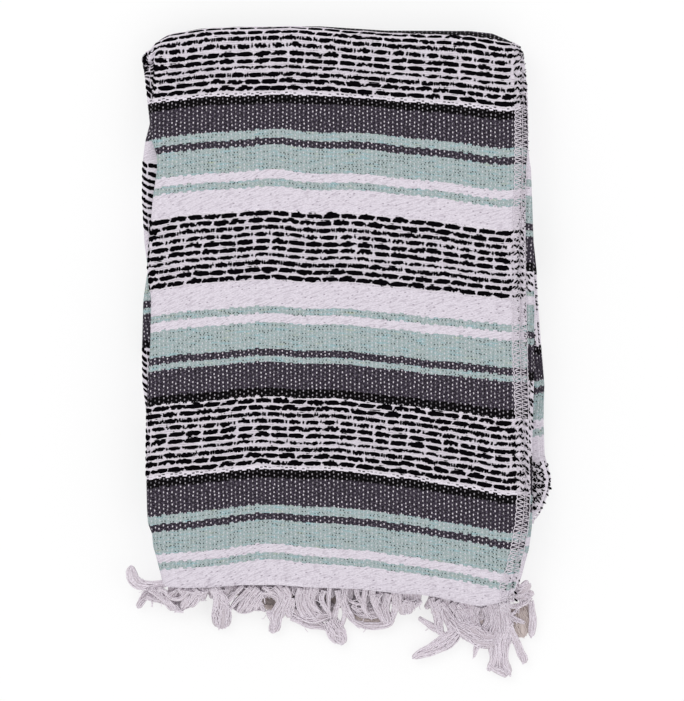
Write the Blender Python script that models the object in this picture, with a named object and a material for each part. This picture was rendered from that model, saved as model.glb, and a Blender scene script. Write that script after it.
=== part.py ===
"""A striped falsa blanket, folded in four across its width and in four along its length, lying flat.

It lies on the XY plane with +Z up. +Y points to the rounded top fold, +X to the side with the
selvedges, and the fringed hem is at -Y. The origin is at the bottom centre of its bounding box.
Sizes in the constants and tables are millimetres, and the meshes are made in metres.

How the cloth is folded: a strip is the blanket folded in four across its width, so it has four
layers with a round fold on the left. The strip goes from the hem over the top fold, back along
the underside, round a loop under the front, over an inner fold, and ends under the hem.
"""

import math
from collections import namedtuple

import bmesh
import bpy
import numpy as np

MM = 0.001

# Cloth and stack
LAYER = 3.0  # one layer of the woven cloth
STRIP = 4 * LAYER  # the four layers of one strip
HALF_STACK = 2 * STRIP  # from the outside of the stack to its middle
SEAM_GAP = 0.3  # between separate solids that touch
HEM_GAP = 0.9  # from the hem's straight facets to the curved backing of the fringe
CROWN = 2.0  # the middle of the stack stands this much higher than its sides

# Lengthwise plan
FOLD_Y = 256.5  # where the top fold starts to turn
HEM_Y = -204.0  # nominal hem of the two upper strips
LOOP_Y = -139.0  # centre of the loop that joins the two lower strips
LOOP_RADIUS = STRIP - 0.4  # so the loop stays clear of the strips that lie on it
HEM_TOP_Z = 37.0  # the top surface has sagged to this at the hem
HEM_UNDER_Z = 0.8  # the underside of the second strip at the hem
TOP_SAGS_FROM_Y = -112.0
UNDER_SAGS_FROM_Y = -146.0
UNDER_SAGS_TO_Y = -196.0
TOP_EDGE_BENDS_FROM_Y = 150.0  # past here the stations follow the top edge
HEM_BENDS_FROM_Y = -100.0  # and past here the hem
CROWN_HALF_WIDTH = 190.0
INNER_FOLD_RADIUS = 1.5  # hollow in the middle of the top fold

# The round fold on the left of a strip, and how far it tucks back under the strip
TUCK = 12.0
TUCK_SHRINKS_FROM_Y = -118.0
TUCK_SHRINKS_TO_Y = -134.0
LOOP_TUCK_DEPTH = 6.6

# Rounding of the layers' edges
SELVEDGE_ROUND = 0.8  # of one layer
DOUBLE_ROUND = 2.2  # of two layers folded round
FOLD_ROUND = 3.5  # of a whole strip on the left
LIP = 0.22  # share of an edge's depth that is rounded off
LAYER_PART = 0.05  # half the groove between the edges of two layers

# How far the lower strips' other edges lie inside their outermost ones
LOWER_LEFT_INSET = 1.5
LOWER_FRONT_INSET = 3.0
LOWER_SECOND_INSET = 1.5
LOWER_THIRD_INSET = 2.5
THIRD_FIRST_INSET = 1.5  # layers of the second strip, from its outermost edge
THIRD_LAST_INSET = 2.0

Edges = namedtuple("Edges", "y left middle_left lower_left front second loop third lower")
# X of each side of the stack at some Y. On the left: the front strip, the second strip and the
# lower strips. On the right: front selvedge, second selvedge, the loop of cloth below them, the
# second strip, and the lower strips.
EDGES = [
    Edges(262, -160.0, -163.0, -167.0, 153.5, 157.5, 155.0, 156.0, 157.0),
    Edges(252, -161.0, -167.0, -173.0, 154.5, 159.0, 156.5, 157.5, 158.5),
    Edges(216, -161.5, -163.5, -166.0, 156.2, 161.4, 160.0, 159.0, 162.0),
    Edges(181, -162.5, -165.0, -169.0, 157.1, 162.2, 162.5, 161.5, 163.5),
    Edges(157, -158.0, -165.0, -171.0, 157.0, 160.5, 165.0, 166.5, 165.5),
    Edges(130, -162.0, -167.0, -171.5, 156.3, 159.7, 167.0, 168.3, 167.0),
    Edges(93, -164.8, -167.0, -170.0, 153.8, 159.7, 167.0, 168.3, 169.5),
    Edges(70, -166.3, -166.5, -165.0, 154.3, 160.0, 167.0, 168.3, 171.0),
    Edges(43, -163.2, -168.0, -171.0, 154.9, 160.5, 166.0, 168.3, 172.0),
    Edges(4, -164.0, -168.0, -171.8, 154.9, 161.4, 163.5, 168.3, 175.0),
    Edges(-30, -166.5, -168.5, -171.5, 156.4, 162.0, 163.0, 168.0, 177.8),
    Edges(-60, -167.0, -167.0, -167.0, 157.6, 162.5, 163.0, 167.0, 177.0),
    Edges(-91, -167.4, -167.0, -167.4, 158.4, 163.0, 163.5, 166.5, 178.0),
    Edges(-112, -167.4, -167.0, -167.8, 158.4, 163.0, 164.0, 166.5, 183.8),
    Edges(-123, -167.2, -167.0, -167.0, 158.0, 163.0, 164.0, 166.5, 181.0),
    Edges(-139, -166.9, -166.5, -165.5, 157.1, 162.5, 164.0, 166.6, 174.5),
    Edges(-151, -163.5, -165.5, -163.0, 155.0, 161.0, 163.0, 166.6, 167.0),
    Edges(-175, -162.0, -163.0, -163.0, 152.8, 158.5, 161.0, 164.8, 165.0),
    Edges(-195, -156.5, -161.0, -161.0, 150.0, 154.0, 156.0, 159.7, 160.0),
    Edges(-204, -153.5, -159.0, -159.0, 144.5, 149.0, 151.0, 156.0, 156.0),
]

Outline = namedtuple("Outline", "x y")
TOP_EDGE = [
    Outline(-173, 257.0),
    Outline(-161, 266.5),
    Outline(-148, 273.7),
    Outline(-121, 278.7),
    Outline(-90, 280.3),
    Outline(-17, 280.7),
    Outline(40, 277.0),
    Outline(112, 276.7),
    Outline(132, 274.5),
    Outline(145, 269.0),
    Outline(162, 260.0),
]
HEM_EDGE = [
    Outline(-160, -197.5),
    Outline(-130, -205.0),
    Outline(-105, -204.4),
    Outline(-72, -202.8),
    Outline(-17, -202.8),
    Outline(26, -205.2),
    Outline(59, -210.3),
    Outline(86, -215.8),
    Outline(110, -218.3),
    Outline(127, -218.0),
    Outline(140, -215.0),
    Outline(160, -203.0),
]

# Stations that the sections stand at, from the hem round to the loop
TOP_STATIONS = [-204, -196, -184, -168, -151, -130, -104, -70, -30, 10, 43, 70, 98, 130, 160, 185]
TOP_STATIONS += [212, 236, 252]
FOLD_ANGLES = [0, 20, 42, 66, 90, 114, 138, 160, 180]
UNDER_STATIONS = [252, 236, 212, 181, 150, 110, 70, 30, -30, -75, -104, -112, -118, -123, -134]
LOOP_ANGLES = [0, 30, 60, 90, 120, 150, 180]
ACROSS = [0.0, 0.03, 0.06, 0.14, 0.25, 0.38, 0.5, 0.6, 0.7, 0.79, 0.87, 0.93, 0.97, 1.0]

# Fringe
BACKING_DEPTH = 1.6  # along Y
BACKING_HEIGHT = 4.2
ROOT_SHARE = 0.68  # how much of its slot a lock fills at the backing
TIP_SHARE = 0.42
TIP_HEIGHT_SHARE = 0.6  # height of a lock's tip, from the backing's height
UNEVEN = 3.0  # how much shorter some locks are than their bunch
FLOOR_CLEARANCE = 0.8
LOCK_STEPS = 4

Bunch = namedtuple("Bunch", "root_from root_to tip_from tip_to tip_y rest_z curl locks")
# Bunches of fringe from left to right, by X at the backing and at the tips. curl moves a lock's
# middle towards -Y so that it hooks, and rest_z is the height that its tip comes down to.
UPPER_FRINGE_Z = 30.0
UPPER_FRINGE = [
    Bunch(-152.0, -145.0, -186.5, -176.5, -188.0, 9.0, 15.0, 2),
    Bunch(-142.0, -127.0, -158.0, -137.0, -221.0, 8.0, 4.0, 4),
    Bunch(-124.0, -112.0, -128.0, -116.0, -216.0, 8.0, 2.0, 3),
    Bunch(-109.0, -92.0, -108.0, -95.0, -241.0, 7.5, 0.0, 3),
    Bunch(-89.0, -66.0, -90.0, -63.0, -228.0, 8.0, 1.0, 5),
    Bunch(-62.0, -50.0, -60.0, -53.0, -244.0, 7.5, 0.0, 2),
    Bunch(-47.0, -12.0, -46.0, -9.0, -240.0, 7.5, 0.0, 7),
    Bunch(-8.0, 4.0, -5.0, 3.0, -252.0, 7.0, 0.0, 2),
    Bunch(8.0, 44.0, 8.5, 46.0, -236.0, 7.5, 1.0, 7),
    Bunch(48.0, 72.0, 52.0, 73.0, -227.0, 10.0, 2.0, 5),
    Bunch(76.0, 92.0, 84.0, 94.0, -254.0, 7.5, 0.0, 3),
    Bunch(96.0, 116.0, 99.0, 114.0, -252.0, 7.5, 0.0, 4),
    Bunch(119.0, 141.0, 126.0, 148.0, -283.0, 7.0, 0.0, 4),
]
LOWER_FRINGE_Z = 7.0
LOWER_FRINGE = [
    Bunch(-155.0, -147.0, -177.0, -167.0, -219.0, 0.0, 2.0, 2),
    Bunch(-142.0, -116.0, -148.0, -120.0, -226.0, 0.0, 0.0, 5),
    Bunch(-112.0, -78.0, -112.0, -80.0, -234.0, 0.0, 0.0, 6),
    Bunch(-74.0, -36.0, -74.0, -38.0, -236.0, 0.0, 0.0, 7),
    Bunch(-32.0, 2.0, -32.0, 2.0, -245.0, 0.0, 0.0, 6),
    Bunch(6.0, 44.0, 7.0, 44.0, -234.0, 0.0, 0.0, 7),
    Bunch(48.0, 62.0, 49.0, 59.0, -232.0, 0.0, 0.0, 3),
    Bunch(66.0, 82.0, 63.5, 76.0, -262.0, 0.0, 0.0, 3),
    Bunch(86.0, 116.0, 86.0, 117.0, -262.0, 0.0, 0.0, 5),
    Bunch(120.0, 138.0, 123.0, 149.0, -281.0, 0.0, 0.0, 4),
    Bunch(141.0, 152.0, 154.0, 168.5, -262.0, 0.0, 0.0, 3),
]


def column(name):
    """One column of EDGES as a function of y."""
    rows = sorted(EDGES, key=lambda row: row.y)
    ys = [row.y for row in rows]
    xs = [getattr(row, name) for row in rows]
    return lambda y: float(np.interp(y, ys, xs))


EDGE = {name: column(name) for name in Edges._fields if name != "y"}


def along(outline, x):
    return float(np.interp(x, [p.x for p in outline], [p.y for p in outline]))


def eased(t):
    t = min(max(t, 0.0), 1.0)
    return t * t * (3 - 2 * t)


def fold_centre(x):
    """Y of the top fold's axis, which is nearer the hem at the corners."""
    return along(TOP_EDGE, x) - HALF_STACK


def straight_y(x, y, hemmed=True):
    """The nominal y of a station, bent to follow the top edge and the hem."""
    towards_fold = eased((y - TOP_EDGE_BENDS_FROM_Y) / (FOLD_Y - TOP_EDGE_BENDS_FROM_Y))
    moved = (fold_centre(x) - FOLD_Y) * towards_fold
    if hemmed:
        towards_hem = eased((HEM_BENDS_FROM_Y - y) / (HEM_BENDS_FROM_Y - HEM_Y))
        moved += (along(HEM_EDGE, x) - HEM_Y) * towards_hem
    return y + moved


def crown(x, z):
    return CROWN * (1 - (x / CROWN_HALF_WIDTH) ** 2) * z / (2 * HALF_STACK)


def upper_z(y, depth):
    """Height of a depth in the two upper strips, which sag and part towards the hem."""
    top_sag = eased((TOP_SAGS_FROM_Y - y) / (TOP_SAGS_FROM_Y - HEM_Y))
    under_sag = eased((UNDER_SAGS_FROM_Y - y) / (UNDER_SAGS_FROM_Y - UNDER_SAGS_TO_Y))
    top = 2 * HALF_STACK - (2 * HALF_STACK - HEM_TOP_Z) * top_sag
    under = HALF_STACK - (HALF_STACK - HEM_UNDER_Z) * under_sag
    if depth <= STRIP:
        return top - depth
    share = (depth - STRIP) / STRIP
    return (top - STRIP) * (1 - share) + under * share


def on_top(x, y, depth):
    z = upper_z(y, depth)
    return x, straight_y(x, y), z + crown(x, z)


def on_fold(x, angle, depth):
    turn = math.radians(angle)
    radius = HALF_STACK - depth
    z = HALF_STACK + radius * math.cos(turn)
    return x, fold_centre(x) + radius * math.sin(turn), z + crown(x, z)


def on_underside(x, y, depth):
    return x, straight_y(x, y, hemmed=False), depth + crown(x, depth)


def on_loop(x, angle, depth):
    turn = math.radians(angle)
    radius = LOOP_RADIUS - depth
    z = LOOP_RADIUS - radius * math.cos(turn)
    return x, LOOP_Y - radius * math.sin(turn), z + crown(x, z)


def mixed_edges(y, share):
    """Edges at y, going from those of the upper strips to those of the lower ones."""
    upper = {name: EDGE[name](y) for name in EDGE}
    lower = dict(
        left=upper["lower_left"] + LOWER_LEFT_INSET,
        middle_left=upper["lower_left"],
        front=upper["lower"] - LOWER_FRONT_INSET,
        second=upper["lower"] - LOWER_SECOND_INSET,
        loop=upper["lower"],
        third=upper["lower"] - LOWER_THIRD_INSET,
    )
    return {name: upper[name] * (1 - share) + lower[name] * share for name in lower}


def wall_section(edge, fold_depth):
    """The outer layer as (x, depth) points: across the top, round the left fold and tucked back."""
    left, right = edge["left"], edge["front"]
    outer, inner = fold_depth / 2, fold_depth / 2 - LAYER
    middle = left + outer
    flat = [middle + (right - SELVEDGE_ROUND - middle) * share for share in reversed(ACROSS)]
    turns = np.radians([36, 72, 108, 144])
    outside = [(right, SELVEDGE_ROUND)] + [(x, 0.0) for x in flat]
    outside += [(middle - outer * math.sin(a), outer - outer * math.cos(a)) for a in turns]
    outside += [(middle, fold_depth), (middle + TUCK, fold_depth)]
    inside = [(right, LAYER - SELVEDGE_ROUND)] + [(x, LAYER) for x in flat]
    inside += [(middle - inner * math.sin(a), outer - inner * math.cos(a)) for a in turns]
    inside += [(middle, fold_depth - LAYER), (middle + TUCK, fold_depth - LAYER)]
    return outside + inside[::-1]


def wall_caps():
    """The ends of the wall as faces between its outside and its inside."""
    count = len(ACROSS) + 7
    return [(i, i + 1, 2 * count - 2 - i, 2 * count - 1 - i) for i in range(count - 1)]


def bulge(tip, start, end, inset):
    """The rounded edge of one or two layers, from one depth to another."""
    lip = (end - start) * LIP
    root = tip - inset
    return [(root, start + LAYER_PART), (tip, start + lip), (tip, end - lip), (root, end - LAYER_PART)]


def hidden_section(edge, inner_depth, folded_in):
    """All layers under the outer one as (x, depth) points, with the edges of layers on both sides."""
    clear = LAYER + SEAM_GAP
    tuck_end = edge["left"] + STRIP / 2 + TUCK + 2 * SEAM_GAP
    inside_fold = edge["left"] + clear + SEAM_GAP if folded_in else tuck_end - 1.0
    inside_round = edge["left"] + STRIP / 2 if folded_in else tuck_end - 0.5
    across = edge["front"] - SELVEDGE_ROUND - inside_round
    points = [(inside_round + across * share, clear) for share in ACROSS[:-1]]
    points.append((edge["second"] - SELVEDGE_ROUND - 0.4, clear))
    points += bulge(edge["second"], clear, 2 * LAYER, SELVEDGE_ROUND)[1:]
    points += bulge(edge["loop"], 2 * LAYER, 4 * LAYER, DOUBLE_ROUND)
    points += bulge(edge["third"] - THIRD_FIRST_INSET, 4 * LAYER, 6 * LAYER, DOUBLE_ROUND)
    points += bulge(edge["third"], 6 * LAYER, 7 * LAYER, SELVEDGE_ROUND)
    points += bulge(edge["third"] - THIRD_LAST_INSET, 7 * LAYER, inner_depth, SELVEDGE_ROUND)
    inner_left, inner_right = edge["middle_left"] + FOLD_ROUND + 1.0, points[-1][0] - 1.0
    across = inner_right - inner_left
    points += [(inner_left + across * share, inner_depth) for share in reversed(ACROSS)]
    middle, reach = STRIP * 1.5, STRIP / 2 - SEAM_GAP
    points += [
        (edge["middle_left"] + FOLD_ROUND * (1 - math.cos(a)), middle + reach * math.sin(a))
        for a in np.radians([70, 35, 0, -35, -70])
    ]
    points += [(tuck_end, STRIP + SEAM_GAP), (tuck_end, STRIP - clear)]
    points += [(inside_round + 0.1, STRIP - clear)]
    points += [(inside_fold, STRIP / 2 + SEAM_GAP * 3), (inside_fold, STRIP / 2 - SEAM_GAP * 3)]
    return points


def hidden_caps():
    """The ends of the hidden layers: faces over each side, and a strip of faces between them."""
    across = len(ACROSS)
    right_edge = 3 + 4 * 4
    under = across + right_edge  # first point of the inner line, which runs from right to left
    last = under + across - 1
    side = 2  # the left faces reach this far into the two lines, past the end of the tuck
    strip = [(i, i + 1, last - i - 1, last - i) for i in range(side, across - 1)]
    below_tuck, above_tuck = last + 6, last + 7
    second_fold = [(below_tuck, i, i + 1) for i in range(last - side, below_tuck - 1)]
    front_fold = list(range(above_tuck + 1, above_tuck + 4)) + list(range(side + 1))
    front_fold = [(above_tuck, a, b) for a, b in zip(front_fold, front_fold[1:])]
    between = [(below_tuck, above_tuck, side, last - side)]
    return strip + second_fold + between + front_fold + [tuple(range(across - 1, under + 1))]


def solid_through(name, rings, caps):
    """A closed body through rings of equal length, with the given faces at both ends."""
    mesh = bmesh.new()
    made = [[mesh.verts.new([c * MM for c in point]) for point in ring] for ring in rings]
    count = len(rings[0])
    for near, far in zip(made, made[1:]):
        for i in range(count):
            j = (i + 1) % count
            mesh.faces.new((near[i], near[j], far[j], far[i]))
    for cap in caps:
        mesh.faces.new([made[0][i] for i in reversed(cap)])
        mesh.faces.new([made[-1][i] for i in cap])
    bmesh.ops.triangulate(mesh, faces=mesh.faces[:], quad_method="BEAUTY", ngon_method="BEAUTY")
    bmesh.ops.recalc_face_normals(mesh, faces=mesh.faces[:])
    return object_from(name, mesh)


def object_from(name, mesh):
    data = bpy.data.meshes.new(name)
    mesh.to_mesh(data)
    mesh.free()
    data.shade_smooth()
    data.set_sharp_from_angle(angle=math.radians(40))
    made = bpy.data.objects.new(name, data)
    bpy.context.scene.collection.objects.link(made)
    return made


def tuck_depth(y):
    """How thick the left fold of the outer layer is, which flattens before the loop."""
    share = (TUCK_SHRINKS_FROM_Y - y) / (TUCK_SHRINKS_FROM_Y - TUCK_SHRINKS_TO_Y)
    return STRIP - (STRIP - LOOP_TUCK_DEPTH) * min(max(share, 0.0), 1.0)


def outer_cloth():
    """The outer layer: front, top fold, underside and the loop under the front."""
    rings = []
    for y in TOP_STATIONS:
        rings.append([on_top(x, y, d) for x, d in wall_section(mixed_edges(y, 0.0), STRIP)])
    for angle in FOLD_ANGLES:
        edge = mixed_edges(FOLD_Y, eased(angle / 180))
        rings.append([on_fold(x, angle, d) for x, d in wall_section(edge, STRIP)])
    for y in UNDER_STATIONS:
        section = wall_section(mixed_edges(y, 1.0), tuck_depth(y))
        rings.append([on_underside(x, y, d) for x, d in section])
    for angle in LOOP_ANGLES:
        y = LOOP_Y - LOOP_RADIUS * math.sin(math.radians(angle))
        section = wall_section(mixed_edges(y, 1.0), LOOP_TUCK_DEPTH)
        rings.append([on_loop(x, angle, d) for x, d in section])
    return solid_through("outer_cloth", rings, wall_caps())


def rounded_end(slit, angle):
    """A section of the lower strips, thinned and narrowed to lie inside the loop."""
    turn = math.radians(angle)
    edge = mixed_edges(LOOP_Y - LOOP_RADIUS * math.sin(turn), 1.0)
    edge["middle_left"] = edge["left"] + STRIP / 2 + TUCK - 2.0
    clear = LAYER + SEAM_GAP
    reach = LOOP_RADIUS - clear
    share = 2 * reach / (slit - clear)
    y = LOOP_Y + SEAM_GAP - reach * math.sin(turn)
    return [
        (x, y, LOOP_RADIUS + ((depth - clear) * share - reach) * math.cos(turn))
        for x, depth in hidden_section(edge, slit, False)
    ]


def hidden_layers():
    """Every layer under the outer one, as one body that turns with the top fold."""
    slit = HALF_STACK - SEAM_GAP / 2
    rings = []
    for y in TOP_STATIONS:
        section = hidden_section(mixed_edges(y, 0.0), slit, True)
        rings.append([on_top(x, y, d) for x, d in section])
    for angle in FOLD_ANGLES:
        edge = mixed_edges(FOLD_Y, eased(angle / 180))
        section = hidden_section(edge, HALF_STACK - INNER_FOLD_RADIUS, True)
        rings.append([on_fold(x, angle, d) for x, d in section])
    for y in UNDER_STATIONS:
        section = hidden_section(mixed_edges(y, 1.0), slit, y > TUCK_SHRINKS_FROM_Y)
        rings.append([on_underside(x, y, d) for x, d in section])
    last = hidden_section(mixed_edges(LOOP_Y, 1.0), slit, False)
    rings.append([on_underside(x, LOOP_Y + 2 * SEAM_GAP, d) for x, d in last])
    rings += [rounded_end(slit, angle) for angle in (0, 35, 70)]
    return solid_through("hidden_layers", rings, hidden_caps())


def lock_path(root, tip, rest_z, curl):
    """Centre points of a lock from its root to its tip, falling to rest_z."""
    path = []
    for i in range(1, LOCK_STEPS + 1):
        t = i / LOCK_STEPS
        x = root[0] + (tip[0] - root[0]) * eased(t)
        y = root[1] + (tip[1] - root[1]) * t - curl * math.sin(math.pi * t)
        z = rest_z + (root[2] - rest_z) * (1 - t) ** 2
        path.append((x, y, z))
    return path


def fringe(name, bunches, strip_z):
    """A narrow backing along the hem with its locks of yarn, in one body."""
    low, high = strip_z - BACKING_HEIGHT / 2, strip_z + BACKING_HEIGHT / 2
    mesh = bmesh.new()

    def hem(x):
        return along(HEM_EDGE, x) - HEM_GAP

    def post(x):
        """The four corners of the backing at x: front low, front high, back high, back low."""
        front, back = hem(x) - BACKING_DEPTH, hem(x)
        return [
            mesh.verts.new((x * MM, y * MM, z * MM))
            for y, z in ((front, low), (front, high), (back, high), (back, low))
        ]

    posts = []
    for bunch in bunches:
        slot = (bunch.root_to - bunch.root_from) / bunch.locks
        half = slot * ROOT_SHARE / 2
        for i in range(bunch.locks):
            middle = bunch.root_from + slot * (i + 0.5)
            posts.append((post(middle - half), None))
            posts.append((post(middle + half), (bunch, i, middle, half)))
    for (near, _), (far, lock) in zip(posts, posts[1:]):
        for a, b in ((1, 2), (2, 3), (3, 0)):
            mesh.faces.new((near[a], near[b], far[b], far[a]))
        if lock is None:
            mesh.faces.new((near[0], near[1], far[1], far[0]))
            continue
        bunch, i, middle, half = lock
        place = (i + 0.5) / bunch.locks
        uneven = UNEVEN * math.sin(2.4 * middle)
        tip_x = bunch.tip_from + (bunch.tip_to - bunch.tip_from) * place
        tip = (tip_x, bunch.tip_y + abs(uneven), 0.0)
        tip_half = (bunch.tip_to - bunch.tip_from) / bunch.locks * TIP_SHARE / 2
        root = (middle, hem(middle) - BACKING_DEPTH, strip_z)
        tall = TIP_HEIGHT_SHARE * BACKING_HEIGHT / 2
        rest_z = max(bunch.rest_z, tall + FLOOR_CLEARANCE)
        ring = [near[0], near[1], far[1], far[0]]
        path = lock_path(root, tip, rest_z, bunch.curl)
        before = root
        for step, (x, y, z) in enumerate(path, 1):
            t = step / LOCK_STEPS
            wide = half * (1 - t) + tip_half * t
            high_half = BACKING_HEIGHT / 2 * (1 - t) + tall * t
            run = math.hypot(x - before[0], y - before[1]) or 1.0
            side = (-(y - before[1]) / run * wide, (x - before[0]) / run * wide)
            following = []
            for across, up in ((-1, -1), (-1, 1), (1, 1), (1, -1)):
                corner = (x + across * side[0], y + across * side[1], z + up * high_half)
                following.append(mesh.verts.new([c * MM for c in corner]))
            for a in range(4):
                b = (a + 1) % 4
                mesh.faces.new((ring[a], ring[b], following[b], following[a]))
            ring, before = following, (x, y)
        mesh.faces.new(ring)
    mesh.faces.new(list(reversed(posts[0][0])))
    mesh.faces.new(posts[-1][0])
    bmesh.ops.triangulate(mesh, faces=mesh.faces[:])
    bmesh.ops.recalc_face_normals(mesh, faces=mesh.faces[:])
    return object_from(name, mesh)


def coloured(target, name, colour, roughness):
    material = bpy.data.materials.new(name)
    material.use_nodes = True
    shader = material.node_tree.nodes["Principled BSDF"]
    shader.inputs["Base Color"].default_value = (*colour, 1.0)
    shader.inputs["Roughness"].default_value = roughness
    shader.inputs["Metallic"].default_value = 0.0
    target.data.materials.append(material)


def main():
    for old in list(bpy.data.objects):
        bpy.data.objects.remove(old, do_unlink=True)
    coloured(outer_cloth(), "striped_cloth", (0.55, 0.58, 0.57), 0.95)
    coloured(hidden_layers(), "inner_cloth", (0.45, 0.46, 0.47), 0.95)
    coloured(fringe("front_fringe", UPPER_FRINGE, UPPER_FRINGE_Z), "front_yarn", (0.66, 0.62, 0.68), 0.9)
    coloured(fringe("back_fringe", LOWER_FRINGE, LOWER_FRINGE_Z), "back_yarn", (0.62, 0.58, 0.64), 0.9)


main()
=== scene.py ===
"""The looks of the folded striped blanket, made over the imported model.

Sizes in the constants and tables are millimetres, and the meshes are made in metres. A place on the
outer cloth is given by x across the blanket and s, the distance along the cloth from the hem's edge
as the stripes count it. s goes up the front, over the top fold, along the underside and round the
loop. A depth is measured from the outside of the stack inwards.
"""

import math
from collections import namedtuple

import bpy
import numpy as np
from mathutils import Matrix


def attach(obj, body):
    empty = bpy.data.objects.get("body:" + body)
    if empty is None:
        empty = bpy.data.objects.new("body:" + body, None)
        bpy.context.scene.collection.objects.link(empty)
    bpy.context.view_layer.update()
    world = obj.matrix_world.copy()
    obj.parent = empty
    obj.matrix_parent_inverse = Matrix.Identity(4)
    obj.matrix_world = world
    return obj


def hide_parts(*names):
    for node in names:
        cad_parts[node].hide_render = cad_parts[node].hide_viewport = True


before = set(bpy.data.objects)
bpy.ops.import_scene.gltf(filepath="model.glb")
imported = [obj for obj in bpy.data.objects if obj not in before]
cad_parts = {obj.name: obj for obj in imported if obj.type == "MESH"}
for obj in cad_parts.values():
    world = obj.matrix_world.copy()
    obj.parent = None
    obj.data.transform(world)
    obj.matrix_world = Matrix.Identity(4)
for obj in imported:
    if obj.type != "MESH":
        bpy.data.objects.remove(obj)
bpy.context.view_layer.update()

MM = 0.001

# Cloth and stack, as in the part's source, with the edges and the hem traced more closely
LAYER = 3.0
STRIP = 4 * LAYER
HALF_STACK = 2 * STRIP
CROWN = 2.0
CROWN_HALF_WIDTH = 190.0
FOLD_Y = 256.5
FOLD_STRETCH = 0.82  # the stripes' distance over the top fold, against the fold's own length
FOLD_STRETCH_AT_RIGHT = 0.92
HEM_Y = -204.0
LOOP_Y = -139.0
LOOP_RADIUS = STRIP - 0.4
HEM_TOP_Z = 37.0
HEM_UNDER_Z = 0.8
TOP_SAGS_FROM_Y = -112.0
UNDER_SAGS_FROM_Y = -146.0
UNDER_SAGS_TO_Y = -196.0
TOP_EDGE_BENDS_FROM_Y = 150.0
HEM_BENDS_FROM_Y = -100.0
TUCK = 12.0
TUCK_SHRINKS_FROM_Y = -118.0
TUCK_SHRINKS_TO_Y = -134.0
LOOP_TUCK_DEPTH = 6.6
HEM_S = 0.5
LEAST_ACROSS = -166.0  # further left, the distance across is no longer x
LOWER_LEFT_INSET = 1.5
LOWER_FRONT_INSET = 3.0
LOWER_SECOND_INSET = 1.5
LOWER_THIRD_INSET = 2.5
THIRD_FIRST_INSET = 1.5
THIRD_LAST_INSET = 2.0

Edges = namedtuple("Edges", "y left middle_left lower_left front second loop third lower")
EDGES = [Edges(*row) for row in (
    (262, -160.5, -170.5, -173.0, 155.5, 158.0, 156.5, 157.0, 158.0),
    (252, -160.8, -171.8, -173.0, 156.5, 159.5, 158.0, 158.5, 159.5),
    (240, -160.8, -169.6, -169.6, 156.8, 160.5, 159.0, 159.0, 160.5),
    (232, -161.0, -168.3, -168.3, 157.0, 161.0, 159.8, 159.2, 161.2),
    (216, -161.8, -166.9, -166.5, 157.0, 161.6, 161.0, 160.5, 162.0),
    (196, -164.5, -164.8, -164.5, 157.1, 162.0, 162.0, 161.5, 163.0),
    (181, -163.0, -168.8, -167.0, 157.1, 162.2, 162.5, 161.5, 163.5),
    (168, -158.5, -170.4, -168.4, 157.0, 161.5, 163.5, 163.5, 164.0),
    (157, -158.0, -171.2, -169.2, 157.0, 160.5, 164.5, 165.5, 165.0),
    (130, -162.0, -171.4, -169.4, 156.3, 159.7, 166.0, 166.5, 166.0),
    (93, -164.8, -169.5, -167.5, 153.8, 159.7, 167.0, 167.8, 168.5),
    (70, -166.3, -166.5, -165.0, 154.3, 160.0, 167.0, 168.3, 171.0),
    (43, -163.2, -170.5, -168.5, 154.9, 160.5, 166.0, 168.3, 172.0),
    (4, -164.0, -171.5, -169.5, 154.9, 161.4, 163.5, 168.3, 175.0),
    (-30, -166.5, -171.0, -169.5, 156.4, 162.0, 163.0, 168.0, 177.8),
    (-60, -167.0, -167.0, -166.0, 157.6, 162.5, 163.0, 167.0, 177.0),
    (-91, -167.4, -167.0, -166.0, 158.6, 163.0, 163.5, 166.5, 178.0),
    (-112, -167.4, -167.0, -166.5, 159.0, 163.8, 164.5, 166.5, 183.8),
    (-123, -167.2, -166.5, -165.0, 159.2, 164.0, 164.8, 166.5, 182.0),
    (-139, -166.9, -165.5, -164.5, 158.3, 163.5, 164.5, 166.6, 175.5),
    (-153, -166.2, -163.5, -163.0, 156.7, 162.1, 163.3, 166.4, 166.8),
    (-163, -162.6, -160.5, -161.0, 155.1, 160.6, 162.0, 165.4, 166.0),
    (-175, -161.8, -159.5, -160.0, 153.0, 158.5, 160.0, 163.8, 165.0),
    (-195, -155.9, -153.5, -153.5, 148.2, 153.8, 155.5, 158.5, 161.0),
    (-204, -153.5, -150.5, -150.5, 144.5, 150.0, 151.5, 154.5, 158.0),
)]

# The blanket's outline at the top fold and at the hem, as x and y
TOP_EDGE = [
    (-173, 257.2), (-166, 259.2), (-162.6, 259.8), (-160.4, 265.4), (-148, 273.7), (-121, 278.7),
    (-90, 280.3), (-17, 280.7), (40, 277.0), (112, 276.7), (132, 274.5), (145, 269.0), (162, 260.0),
]
HEM_EDGE = [
    (-160, -198.0), (-150, -204.8), (-130, -205.9), (-110, -204.9), (-86, -203.1), (-52, -203.1),
    (-30, -204.9), (17, -206.6), (52, -210.6), (69, -211.2), (86, -214.2), (104, -218.5), (121, -221.6),
    (138, -218.6), (146, -213.0), (160, -203.0),
]

# Stripes: the distance along the cloth at which each begins, in a repeat of REPEAT, and its yarn
REPEAT = 323.85
STRIPES = [
    (0.0, "white"), (18.5, "mint"), (24.8, "white"), (32.4, "mint"), (53.8, "grey"),
    (60.4, "mint"), (67.7, "grey"), (91.3, "black"), (99.7, "ground"), (160.7, "black"),
    (169.1, "grey"), (191.2, "mint"), (196.8, "grey"), (203.1, "mint"), (225.7, "white"),
    (232.9, "mint"), (239.1, "white"), (263.6, "ground"),
]
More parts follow.
